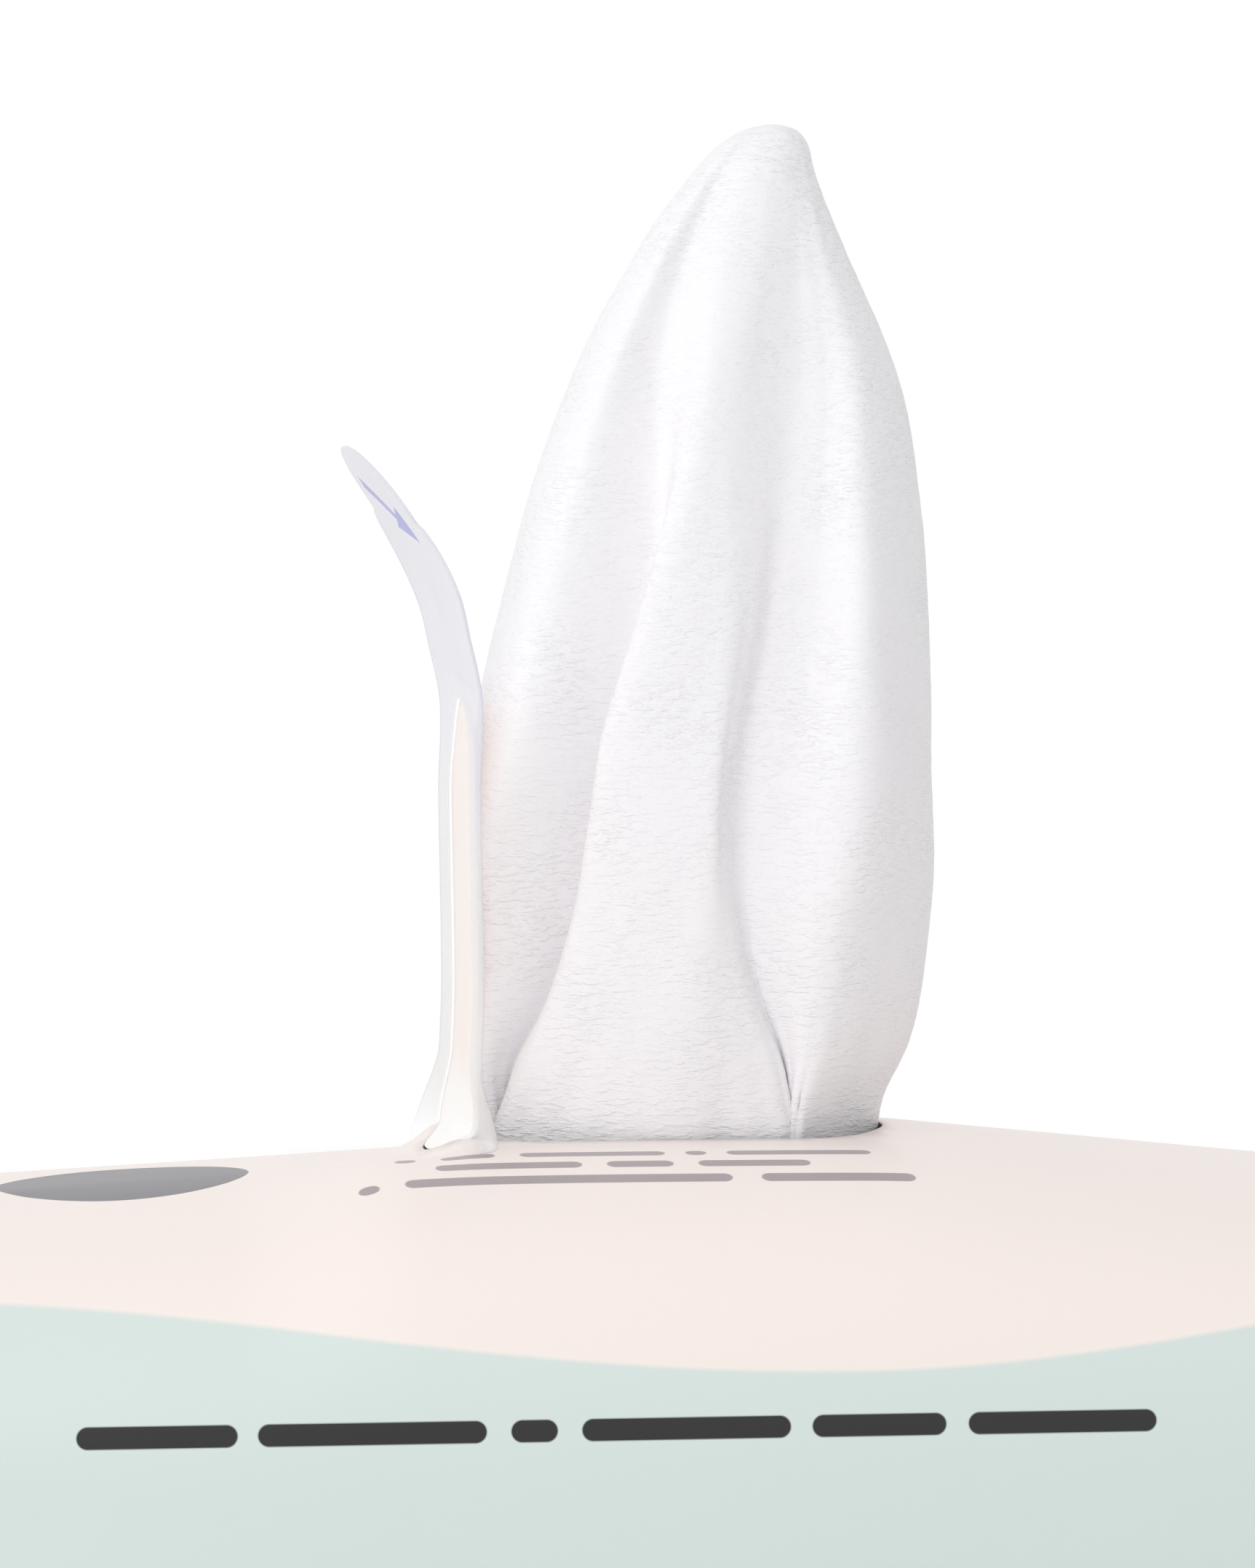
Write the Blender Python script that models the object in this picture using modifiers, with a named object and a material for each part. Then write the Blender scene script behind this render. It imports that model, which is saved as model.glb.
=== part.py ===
"""An open soft pack of wet wipes, with its label peeled back and one wipe pulled up through the opening.

X runs along the pack, -Y is its long front side and +Z is up. The origin is the centre of the underside.
All lengths are in metres.
"""

import math

import bmesh
import bpy
from mathutils import Vector

# Sheet materials and fits
FILM = 0.0003
LABEL_FILM = 0.00025
CLOTH = 0.0006
GAP = 0.0003  # clearance between pieces that touch

# Pouch body
BODY_LENGTH = 0.204
BODY_WIDTH = 0.114
BODY_HEIGHT = 0.060  # at the opening
SEAL_LEVEL = 0.024  # height of the end fins and of the widest line of the sides
BASE_CORNER = 0.012  # radius along the lower edges
SIDE_BULGE = 0.0006
CROWN_POWER = 2.8  # 2 is an ellipse, higher is squarer
END_CROWN_POWER = 7.0  # the top turns square where it meets the fins
END_ROUND = 0.014  # how far from each end the body starts to close
END_POWER = 3.0
TUCK_DEPTH = 0.020  # side gusset at the fin
TUCK_LENGTH = 0.0085
FOLDED_WALL = 8 * FILM  # layers that lie on each other where the ends are folded in

# Rise of the top towards the opening
RIGHT_FALL = 0.105  # slope of the crest line
LEFT_FALL = 0.055
LIP_RISE = 0.0034  # the film stands up at the hinge side of the opening
LIP_START = 0.020
LIP_RUN = 0.014
FALL_START = 0.027
FALL_ROUND = 0.006

# Seam under the pouch
SEAM_WIDTH = 0.012
SEAM_GROOVE = 0.0006
SEAM_GROOVE_DEPTH = 0.0004

# Crimped end fins
FIN_LENGTH = 0.012
FIN_THICKNESS = 0.0016
FIN_OVERLAP = 0.0015
RIB_COUNT = 7
RIB_DEPTH = 0.0003
RIB_MARGIN = 0.0012
RIB_SHAPE = ((0.0, 0), (0.25, 1), (0.5, 1), (0.75, 0))  # of one rib: share of the pitch and of the depth
TOOTH_PITCH = 0.004
TOOTH_DEPTH = 0.0015

# Opening in the top film
OPENING_LENGTH = 0.0575
OPENING_WIDTH = 0.030
OPENING_RADIUS = 0.014
OPENING_X = 0.0
CUT_GAP = 0.0003  # left by the die between the opening and the piece cut out of it

# Reseal label
LABEL_LENGTH = 0.108
LABEL_WIDTH = 0.056
LABEL_CORNER = 0.010
STUCK_LENGTH = 0.0188
FOLD_INSET = 0.00255  # the label folds up this far past the opening's left edge
FOLD_X = OPENING_X - OPENING_LENGTH / 2 + FOLD_INSET
STUCK_END_X = FOLD_X - STUCK_LENGTH
BEND_LENGTH = 0.011
TAB_WIDTH = 0.037
TAB_LENGTH = 0.0105
TAB_POWER = 2.2  # 2 is an ellipse
TIP_WIDTH = 0.0008  # least width, at the tip of the tab
LABEL_SKEW = 0.105  # the peeled part folds up along a line turned by this much from straight across
# Middle line of the peeled part, from the fold and the pack's top, in shares of the label's length. It runs on
# beyond the tab's tip.
PEEL_LINE = [
    (0.0148, 0.0037),
    (0.0241, 0.0231),
    (0.0278, 0.0509),
    (0.0306, 0.0972),
    (0.0315, 0.1481),
    (0.0296, 0.2222),
    (0.0269, 0.2963),
    (0.0231, 0.3889),
    (0.0222, 0.4491),
    (0.0167, 0.4954),
    (0.0046, 0.5500),
    (-0.0093, 0.6019),
    (-0.0361, 0.6593),
    (-0.0704, 0.7130),
    (-0.1093, 0.7667),
    (-0.1481, 0.8204),
]

# Wipes inside
END_ROOM = 0.012  # between the stack and the inside of the pouch's end
SIDE_ROOM = 0.005
HEAD_ROOM = 0.013
STACK_LENGTH = BODY_LENGTH - 2 * END_ROOM
STACK_WIDTH = BODY_WIDTH - 2 * SIDE_ROOM
STACK_HEIGHT = BODY_HEIGHT - HEAD_ROOM
STACK_CORNER = 0.009
STACK_SHOULDER = 0.96  # width where the top starts, as a share of the width of the last fold
FOLD_PITCH = 0.0016
FOLD_NOTCH = 0.0008
FOLD_SHAPE = ((FOLD_NOTCH, 0.25), (0.0, 0.6), (0.0, 0.9))  # of one fold: its inset and share of the pitch
NEXT_INSET = 0.004  # of the top wipe's ends from the stack's
NEXT_SIDE_INSET = 0.010
NEXT_LENGTH = STACK_LENGTH - 2 * NEXT_INSET
NEXT_WIDTH = STACK_WIDTH - 2 * NEXT_SIDE_INSET
NEXT_RISE = 0.0035
NEXT_RISE_LENGTH = 0.022
NEXT_RISE_WIDTH = 0.014

# Pulled wipe
WIPE_HEIGHT = 0.124  # over the pack's top
# Its outline, as shares: of the wipe's height, of half the opening's length to the left and the right, and of
# half the opening's width.
WIPE_OUTLINE = [
    (-0.0645, -0.626, 0.957, 0.867),
    (0.0161, -0.640, 0.974, 0.900),
    (0.0726, -0.696, 1.085, 1.000),
    (0.1935, -0.748, 1.190, 1.100),
    (0.3710, -0.765, 1.214, 1.167),
    (0.5323, -0.626, 1.203, 1.067),
    (0.7258, -0.365, 1.099, 0.800),
    (0.8710, -0.049, 0.849, 0.533),
    (0.9516, 0.209, 0.713, 0.333),
    (0.9879, 0.369, 0.657, 0.187),
    (1.0000, 0.477, 0.598, 0.093),
]
# The wipe's folds in their order round it, each with its place at four levels: at the opening, low, halfway and
# high. A place is a share of the outline's half width, left to right, and of its half depth, front to back.
FOLD_LEVELS = (0.016, 0.21, 0.40, 0.73)  # shares of the wipe's height
WIPE_FOLDS = {
    "left_hem": ((-0.52, 0.30), (-0.50, 0.38), (-0.48, 0.45), (-0.42, 0.36)),
    "lobe_back": ((-0.80, 0.45), (-0.84, 0.55), (-0.80, 0.70), (-0.78, 0.62)),
    "lobe": ((-0.96, 0.10), (-1.00, 0.12), (-1.00, 0.20), (-1.00, 0.12)),
    "lobe_front": ((-0.82, -0.22), (-0.84, -0.38), (-0.84, -0.45), (-0.88, -0.42)),
    "tuck": ((-0.48, -0.22), (-0.30, -0.20), (-0.26, -0.36), (-0.56, -0.66)),
    "panel_edge": ((-0.98, -0.66), (-0.62, -0.84), (-0.45, -0.88), (-0.28, -0.96)),
    "panel": ((-0.45, -0.95), (-0.28, -1.00), (-0.14, -1.00), (-0.06, -0.92)),
    "panel_right": ((0.15, -0.96), (-0.02, -0.86), (0.06, -0.88), (0.08, -0.80)),
    "slit": ((0.42, -0.42), (0.12, -0.30), (0.28, -0.62), (0.27, -0.60)),
    "ridge": ((0.53, -0.84), (0.54, -0.92), (0.66, -0.88), (0.62, -0.72)),
    "right_side": ((0.97, -0.20), (1.00, -0.15), (1.00, -0.05), (1.00, 0.00)),
    "right_back": ((0.80, 0.42), (0.85, 0.55), (0.85, 0.60), (0.78, 0.58)),
    "back_valley": ((0.46, 0.14), (0.46, 0.25), (0.46, 0.35), (0.38, 0.52)),
    "back_ridge": ((0.16, 0.60), (0.16, 0.85), (0.16, 0.90), (0.02, 0.84)),
    "inner_valley": ((-0.12, 0.14), (-0.14, 0.42), (-0.14, 0.54), (-0.22, 0.62)),
    "right_hem": ((-0.44, 0.62), (-0.44, 0.86), (-0.46, 0.94), (-0.56, 0.92)),
}

# How finely the shapes are built
SECTION_STEPS = 11  # across the crown of the pouch, to its middle
BODY_STEPS = (3, 11, 5, 6)  # along the pouch: left, at the label, at the opening and right
END_STEPS = 7
CORNER_STEPS = 4  # along a lower edge
OPENING_STEPS = 8  # along a corner of the opening
LABEL_STEPS = (5, 3, 11, 9, 6, 7)  # along the label: corner, stuck part, bend, body, shoulder and tab
PANEL_STEPS = (12, 6, 7)  # along the panel: round start, middle and round end
LABEL_COLUMNS = 6
LINE_STEPS = 400
STACK_TOP_STEPS = 6
NEXT_STEPS = (14, 10)
FOLD_STEPS = 3  # between two folds of the wipe
WIPE_ROWS = 24


def clear_scene():
    for old in list(bpy.data.objects):
        bpy.data.objects.remove(old, do_unlink=True)


def new_collection(name):
    collection = bpy.data.collections.new(name)
    bpy.context.scene.collection.children.link(collection)
    return collection


def make_material(name, colour, roughness, alpha=1.0):
    material = bpy.data.materials.new(name)
    material.use_nodes = True
    shader = material.node_tree.nodes["Principled BSDF"]
    shader.inputs["Base Color"].default_value = (*colour, 1.0)
    shader.inputs["Roughness"].default_value = roughness
    shader.inputs["Metallic"].default_value = 0.0
    shader.inputs["Alpha"].default_value = alpha
    return material


def clamp(value, low=0.0, high=1.0):
    return max(low, min(high, value))


def smooth_step(value):
    value = clamp(value)
    return value * value * (3 - 2 * value)


def soft_ramp(value, rounding):
    """Zero below zero and equal to the value above it, with a rounded start."""
    return (value + math.hypot(value, rounding)) / 2


def through_points(points, position):
    """A smooth curve through the points, where position counts the points passed."""
    last = len(points) - 1
    index = min(int(position), last - 1)
    part = position - index
    before, start, end, after = (points[int(clamp(index + step, 0, last))] for step in (-1, 0, 1, 2))
    result = []
    for a, b, c, d in zip(before, start, end, after):
        curve = 2 * b + (c - a) * part + (2 * a - 5 * b + 4 * c - d) * part**2
        result.append((curve + (3 * b - a - 3 * c + d) * part**3) / 2)
    return result


def at_height(table, height):
    """The values of a table of rows that start with a height, read smoothly at one height."""
    heights = [row[0] for row in table]
    height = clamp(height, heights[0], heights[-1])
    index = max(i for i in range(len(heights) - 1) if heights[i] <= height)
    part = (height - heights[index]) / (heights[index + 1] - heights[index])
    return through_points(table, index + part)[1:]


def sheet_mesh(name, rows, with_ends=False):
    """A mesh with a row of faces between each two rows of points, and a face on each end row if asked for."""
    mesh = bmesh.new()
    verts = [[mesh.verts.new(point) for point in row] for row in rows]
    for lower, upper in zip(verts, verts[1:]):
        for i in range(len(lower) - 1):
            mesh.faces.new((lower[i], lower[i + 1], upper[i + 1], upper[i]))
    if with_ends:
        mesh.faces.new(verts[0])
        mesh.faces.new(list(reversed(verts[-1])))
    bmesh.ops.recalc_face_normals(mesh, faces=mesh.faces)
    data = bpy.data.meshes.new(name)
    mesh.to_mesh(data)
    mesh.free()
    return data


def add_object(name, data, collection, material=None):
    item = bpy.data.objects.new(name, data)
    collection.objects.link(item)
    if material:
        data.materials.append(material)
    if isinstance(data, bpy.types.Mesh):
        data.shade_smooth()
        data.set_sharp_from_angle(angle=math.radians(35))
    return item


def add_solidify(item, thickness, offset):
    solidify = item.modifiers.new("Thickness", "SOLIDIFY")
    solidify.thickness = thickness
    solidify.offset = offset
    solidify.use_even_offset = True
    return solidify


def add_boolean(item, other, operation):
    boolean = item.modifiers.new(operation.title(), "BOOLEAN")
    boolean.operation = operation
    boolean.object = other
    boolean.solver = "EXACT"


def as_cutter(item):
    item.hide_render = True
    item.display_type = "WIRE"
    return item


def extruded_outline(name, outline, depth, collection):
    """A closed flat outline extruded along its local Z, as a mesh object centred on it."""
    curve = bpy.data.curves.new(name, "CURVE")
    curve.dimensions = "2D"
    curve.fill_mode = "BOTH"
    curve.extrude = depth / 2
    spline = curve.splines.new("POLY")
    spline.points.add(len(outline) - 1)
    for point, (across, along) in zip(spline.points, outline):
        point.co = (across, along, 0.0, 1.0)
    spline.use_cyclic_u = True
    source = bpy.data.objects.new(name + "_outline", curve)
    bpy.context.scene.collection.objects.link(source)
    bpy.context.view_layer.update()
    evaluated = source.evaluated_get(bpy.context.evaluated_depsgraph_get())
    data = bpy.data.meshes.new_from_object(evaluated)
    bpy.data.objects.remove(source, do_unlink=True)
    mesh = bmesh.new()
    mesh.from_mesh(data)
    bmesh.ops.remove_doubles(mesh, verts=mesh.verts, dist=1e-6)
    bmesh.ops.recalc_face_normals(mesh, faces=mesh.faces)
    mesh.to_mesh(data)
    mesh.free()
    data.name = name
    return add_object(name, data, collection)


def crest_height(x):
    """Height of the pouch's middle line. It is highest at the opening and falls towards both ends."""
    right = RIGHT_FALL * soft_ramp(x - FALL_START, FALL_ROUND)
    left = LEFT_FALL * soft_ramp(-x - FALL_START, FALL_ROUND)
    lip = LIP_RISE * smooth_step((-x - LIP_START) / LIP_RUN)
    return BODY_HEIGHT - right - left - lip


def crown_share(across):
    """Height of the crown over its widest line, as a share of the middle's, at a share of the half width.

    It is its own inverse, so it also gives the share of the half width at a share of the height.
    """
    return (1 - clamp(abs(across)) ** CROWN_POWER) ** (1 / CROWN_POWER)


def top_height(x, y):
    """Outer surface of the pouch's top film, away from its ends."""
    return SEAL_LEVEL + (crest_height(x) - SEAL_LEVEL) * crown_share(2 * y / BODY_WIDTH)


def half_section(x, inset, power):
    """The back half of the pouch's section, from the middle of the underside to the middle of the top."""
    half = BODY_WIDTH / 2 - inset
    corner = BASE_CORNER - inset
    floor = inset
    seam = SEAM_WIDTH / 2
    groove = floor + SEAM_GROOVE_DEPTH
    points = [(0.0, floor), (seam, floor), (seam, groove), (seam + SEAM_GROOVE, groove)]
    points.append((seam + SEAM_GROOVE, floor))
    points.append(((seam + half - corner) / 2, floor))
    for step in range(CORNER_STEPS + 1):
        angle = math.pi / 2 * step / CORNER_STEPS
        across = half - SIDE_BULGE - corner + corner * math.sin(angle)
        points.append((across, floor + corner * (1 - math.cos(angle))))
    crown = crest_height(x) - inset - SEAL_LEVEL
    for step in range(SECTION_STEPS + 1):
        # Even steps of the angle put the points close together where the crown turns down.
        angle = math.pi / 2 * step / SECTION_STEPS
        across = half * math.cos(angle) ** (2 / power)
        points.append((across, SEAL_LEVEL + crown * math.sin(angle) ** (2 / power)))
    points[-1] = (0.0, points[-1][1])
    return points


def pouch_stations():
    """Places along X at which the body has a section, with the share of the end that is passed there."""
    straight = BODY_LENGTH / 2 - END_ROUND
    stops = [-straight, STUCK_END_X, -LIP_START, FALL_START, straight]
    inner = []
    for start, end, count in zip(stops, stops[1:], BODY_STEPS):
        inner += [(start + (end - start) * step / count, 0.0) for step in range(count)]
    shares = [math.sin(math.pi / 2 * step / END_STEPS) for step in range(END_STEPS + 1)]
    right = [(straight + END_ROUND * share, share) for share in shares]
    return [(-x, share) for x, share in reversed(right[1:])] + inner + right


def pouch_ring(x, end_share, inset):
    """Half section at x, flattened to the fin's level and tucked in at the side as the end is passed."""
    thinnest = FIN_THICKNESS / 4 / BODY_HEIGHT
    height_share = max((1 - end_share**END_POWER) ** (1 / END_POWER), thinnest)
    folded = FOLDED_WALL * bool(inset)
    tuck_start = BODY_LENGTH / 2 - TUCK_LENGTH - folded
    tuck = (TUCK_DEPTH + folded) * clamp((abs(x) - tuck_start) / TUCK_LENGTH)
    power = CROWN_POWER + (END_CROWN_POWER - CROWN_POWER) * end_share**2
    ring = []
    for across, height in half_section(x, inset, power):
        span = BODY_HEIGHT - SEAL_LEVEL if height > SEAL_LEVEL else SEAL_LEVEL
        from_seal = clamp(abs(height - SEAL_LEVEL) / span)
        side = smooth_step((across - BODY_WIDTH / 4) / (BODY_WIDTH / 4))
        pulled_in = tuck * side * (1 - from_seal)
        ring.append(Vector((x, across - pulled_in, SEAL_LEVEL + (height - SEAL_LEVEL) * height_share)))
    return ring


def pouch_skin(name, inset, collection, material=None):
    """A closed skin of the pouch: half of it is lofted along X and then mirrored to the front."""
    folded = FOLDED_WALL * bool(inset)
    rows = []
    for x, share in pouch_stations():
        rows.append(pouch_ring(x - math.copysign(folded * share, x), share, inset))
    skin = add_object(name, sheet_mesh(name, rows, with_ends=True), collection, material)
    mirror = skin.modifiers.new("Front half", "MIRROR")
    mirror.use_axis = (False, True, False)
    mirror.merge_threshold = 0.00002
    return skin


def fin_outline():
    """Side view of a crimped fin, as distance from the body's end and height over the seal's middle."""
    start = -FIN_OVERLAP
    pitch = (FIN_LENGTH - TOOTH_DEPTH - 2 * RIB_MARGIN) / RIB_COUNT
    half = FIN_THICKNESS / 2
    upper = [(start, half)]
    for rib in range(RIB_COUNT):
        for along, depth in RIB_SHAPE:
            upper.append((RIB_MARGIN + (rib + along) * pitch, half - RIB_DEPTH * depth))
    upper.append((FIN_LENGTH, half))
    return upper + [(x, -z) for x, z in reversed(upper)]


def make_fin(name, side, collection):
    """One fin, with ribs across the pack."""
    fin = extruded_outline(name, fin_outline(), BODY_WIDTH - 2 * SIDE_BULGE, collection)
    fin.rotation_euler = (math.pi / 2, 0, 0 if side > 0 else math.pi)
    fin.location = (side * BODY_LENGTH / 2, 0, SEAL_LEVEL)
    return as_cutter(fin)


def make_teeth_cutter(name, side, collection):
    """The row of notches that leaves a zigzag edge on a fin."""
    outer = FIN_LENGTH + TOOTH_DEPTH
    count = round(BODY_WIDTH / TOOTH_PITCH) + 2
    start = -count / 2 * TOOTH_PITCH
    outline = []
    for tooth in range(count):
        outline.append((FIN_LENGTH - TOOTH_DEPTH, start + tooth * TOOTH_PITCH))
        outline.append((FIN_LENGTH, start + (tooth + 0.5) * TOOTH_PITCH))
    outline += [(outer, start + count * TOOTH_PITCH), (outer, start - TOOTH_PITCH)]
    cutter = extruded_outline(name, outline, 4 * FIN_THICKNESS, collection)
    cutter.rotation_euler = (0, 0, 0 if side > 0 else math.pi)
    cutter.location = (side * BODY_LENGTH / 2, 0, SEAL_LEVEL)
    return as_cutter(cutter)


def rounded_outline(length, width, radius, steps):
    """A rectangle with round corners, centred on the origin."""
    points = []
    for turn, (sx, sy) in enumerate(((1, 1), (-1, 1), (-1, -1), (1, -1))):
        for step in range(steps + 1):
            angle = math.pi / 2 * (turn + step / steps)
            x = sx * (length / 2 - radius) + radius * math.cos(angle)
            points.append((x, sy * (width / 2 - radius) + radius * math.sin(angle)))
    return points


def make_pouch(collection, cutters):
    """The film pouch: a thin shell with crimped fins and the die-cut opening in its top."""
    film = make_material("Printed film", (0.93, 0.86, 0.82), 0.35)
    pouch = pouch_skin("film_pouch", 0.0, collection, film)
    cavity = as_cutter(pouch_skin("pouch_cavity", FILM, cutters))
    outline = rounded_outline(OPENING_LENGTH, OPENING_WIDTH, OPENING_RADIUS, OPENING_STEPS)
    opening = as_cutter(extruded_outline("opening_cut", outline, BODY_HEIGHT / 2, cutters))
    opening.location = (OPENING_X, 0, BODY_HEIGHT)
    for side, end in ((1, "right"), (-1, "left")):
        add_boolean(pouch, make_fin(f"{end}_fin", side, cutters), "UNION")
        add_boolean(pouch, make_teeth_cutter(f"{end}_teeth", side, cutters), "DIFFERENCE")
    add_boolean(pouch, cavity, "DIFFERENCE")
    add_boolean(pouch, opening, "DIFFERENCE")
    return pouch


def label_line():
    """The label's middle line, from its stuck end to beyond its tab, as x and height."""
    lift = GAP + LABEL_FILM / 2
    stuck = []
    steps = 2 * LABEL_STEPS[0]
    for step in range(steps + 1):
        x = STUCK_END_X + STUCK_LENGTH * step / steps
        stuck.append((x, crest_height(x) + lift))
    peeled = [(FOLD_X + LABEL_LENGTH * along, BODY_HEIGHT + LABEL_LENGTH * up) for along, up in PEEL_LINE]
    return stuck + peeled


def along_label():
    """Even small steps along the middle line, as (distance, x, height)."""
    line = label_line()
    samples = [(0.0, *line[0])]
    for step in range(1, LINE_STEPS + 1):
        x, z = through_points(line, (len(line) - 1) * step / LINE_STEPS)
        distance = samples[-1][0] + math.hypot(x - samples[-1][1], z - samples[-1][2])
        samples.append((distance, x, z))
    return samples


def read_label_line(samples, distance):
    """Place and normal of the middle line at a distance from its stuck end."""
    index = max((i for i in range(len(samples) - 1) if samples[i][0] <= distance), default=0)
    (d0, x0, z0), (d1, x1, z1) = samples[index], samples[index + 1]
    part = (distance - d0) / (d1 - d0)
    tangent = Vector((x1 - x0, 0, z1 - z0)).normalized()
    normal = Vector((-tangent.z, 0, tangent.x))
    return Vector((x0 + (x1 - x0) * part, 0, z0 + (z1 - z0) * part)), normal


def label_point(samples, distance, across, offset):
    """A point of the label's surface, raised by offset on its printed side.

    The fold line is skewed, so a point further back has passed it by more. The skew fades with the height.
    """
    skew = LABEL_SKEW * across
    place, normal = read_label_line(samples, distance + skew)
    height = max(place.z - crest_height(place.x), 0.0)
    x = place.x - skew * (1 - smooth_step(height / LABEL_WIDTH))
    y = across - LABEL_SKEW * height
    lying = 1 - smooth_step(4 * height / LABEL_WIDTH)
    z = place.z + lying * (top_height(x, y) - crest_height(place.x))
    return Vector((x, y, z)) + normal * offset


def label_half_width(distance):
    """Half the label's width: square with round corners, then a round tab at the end."""
    body = LABEL_LENGTH - TAB_LENGTH
    half = LABEL_WIDTH / 2
    tab = TAB_WIDTH / 2
    if distance < LABEL_CORNER:
        return half - LABEL_CORNER + math.sqrt(LABEL_CORNER**2 - (LABEL_CORNER - distance) ** 2)
    if distance < body - LABEL_CORNER:
        return half
    if distance < body:
        part = (distance - body + LABEL_CORNER) / LABEL_CORNER
        return tab + (half - tab) * math.sqrt(1 - part**2)
    part = (distance - body) / TAB_LENGTH
    return tab * max(1 - part**TAB_POWER, 0.0) ** (1 / TAB_POWER)


def panel_half_width(distance):
    """Half the panel's width: the opening's outline, less the gap that the die leaves."""
    radius = OPENING_RADIUS - CUT_GAP
    half = OPENING_WIDTH / 2 - CUT_GAP
    start, end = panel_ends()
    from_end = min(distance - start, end - distance)
    if from_end >= radius:
        return half
    return half - radius + math.sqrt(max(radius**2 - (radius - from_end) ** 2, 0.0))


def panel_ends():
    """Distances along the label at which the panel starts and ends."""
    middle = OPENING_X - STUCK_END_X
    half = OPENING_LENGTH / 2 - CUT_GAP
    return middle - half, middle + half


def steps_between(stops, counts):
    """Values from the first stop to the last. They are even, but close together at both outer ends."""
    values = [stops[0]]
    stretches = list(zip(stops, stops[1:], counts))
    for number, (start, end, count) in enumerate(stretches):
        for step in range(1, count + 1):
            share = step / count
            if number == 0:
                share = 1 - math.cos(math.pi / 2 * share)
            elif number == len(stretches) - 1:
                share = math.sin(math.pi / 2 * share)
            values.append(start + (end - start) * share)
    return values


def label_strip(name, distances, half_width, offset):
    """A strip that follows the label's surface, as wide as half_width gives at each distance."""
    samples = along_label()
    rows = []
    for distance in distances:
        half = max(half_width(distance), TIP_WIDTH / 2)
        shares = [2 * column / LABEL_COLUMNS - 1 for column in range(LABEL_COLUMNS + 1)]
        rows.append([label_point(samples, distance, half * share, offset) for share in shares])
    return sheet_mesh(name, rows)


def make_label(collection):
    """The clear reseal label: its left end stays stuck and the rest stands up beside the opening."""
    clear_film = make_material("Clear label film", (0.83, 0.82, 0.86), 0.2, alpha=0.35)
    body = LABEL_LENGTH - TAB_LENGTH
    bend_end = STUCK_LENGTH + BEND_LENGTH
    stops = (0.0, LABEL_CORNER, STUCK_LENGTH, bend_end, body - LABEL_CORNER, body, LABEL_LENGTH)
    strip = label_strip("reseal_label", steps_between(stops, LABEL_STEPS), label_half_width, 0.0)
    label = add_object("reseal_label", strip, collection, clear_film)
    add_solidify(label, LABEL_FILM, 0.0)
    return label


def make_cut_out_panel(collection):
    """The piece of film from the opening. It stays on the label's sticky side, where it lay in the opening."""
    film = make_material("Cut out film", (0.93, 0.86, 0.82), 0.35)
    start, end = panel_ends()
    stops = (start, start + OPENING_RADIUS, end - OPENING_RADIUS, end)
    offset = -(LABEL_FILM / 2 + GAP + FILM / 2)
    strip = label_strip("cut_out_panel", steps_between(stops, PANEL_STEPS), panel_half_width, offset)
    panel = add_object("cut_out_panel", strip, collection, film)
    add_solidify(panel, FILM, 0.0)
    return panel


def stack_top(y):
    """Height of the stack's top, crowned as the pouch is."""
    return SEAL_LEVEL + (STACK_HEIGHT - SEAL_LEVEL) * crown_share(2 * y / STACK_WIDTH)


def stack_outline():
    """End view of the interfolded stack, as y and height, with a notch between each two folds."""
    floor = FILM + SEAM_GROOVE_DEPTH + GAP
    half = STACK_WIDTH / 2
    side = []
    for step in range(CORNER_STEPS + 1):
        angle = math.pi / 2 * step / CORNER_STEPS
        across = half - STACK_CORNER + STACK_CORNER * math.sin(angle)
        side.append((across, floor + STACK_CORNER * (1 - math.cos(angle))))
    height = floor + STACK_CORNER
    while height < SEAL_LEVEL + STACK_CORNER:
        outer = half * min(1.0, crown_share((height - SEAL_LEVEL) / (STACK_HEIGHT - SEAL_LEVEL)))
        for inset, share in FOLD_SHAPE:
            side.append((outer - inset, height + FOLD_PITCH * share))
        height += FOLD_PITCH
    last = side[-1][0] * STACK_SHOULDER
    for step in range(STACK_TOP_STEPS):
        y = last * (1 - step / STACK_TOP_STEPS)
        side.append((y, stack_top(y)))
    top = [(0.0, STACK_HEIGHT)]
    return side + top + [(-y, z) for y, z in reversed(side)]


def make_stack(collection):
    """The folded wipes that still lie in the pouch, as one block with its folds along both sides."""
    cloth = make_material("Stacked cloth", (0.88, 0.87, 0.88), 0.9)
    stack = extruded_outline("wipe_stack", stack_outline(), STACK_LENGTH, collection)
    stack.rotation_euler = (math.pi / 2, 0, math.pi / 2)
    stack.data.materials.append(cloth)
    return stack


def next_height(x, y):
    """Underside of the next wipe: it lies on the stack and is lifted under the opening."""
    distance = math.hypot((x - OPENING_X) / NEXT_RISE_LENGTH, y / NEXT_RISE_WIDTH)
    return stack_top(y) + GAP + CLOTH / 2 + NEXT_RISE * math.exp(-distance * distance)


def make_next_wipe(collection):
    """The wipe that is interfolded with the pulled one."""
    cloth = make_material("Next cloth", (0.9, 0.89, 0.9), 0.9)
    along, across = NEXT_STEPS
    xs = [NEXT_LENGTH * (step / along - 0.5) for step in range(along + 1)]
    ys = [NEXT_WIDTH * (step / across - 0.5) for step in range(across + 1)]
    rows = [[Vector((x, y, next_height(x, y))) for y in ys] for x in xs]
    wipe = add_object("next_wipe", sheet_mesh("next_wipe", rows), collection, cloth)
    add_solidify(wipe, CLOTH, 0.0)
    return wipe


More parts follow.
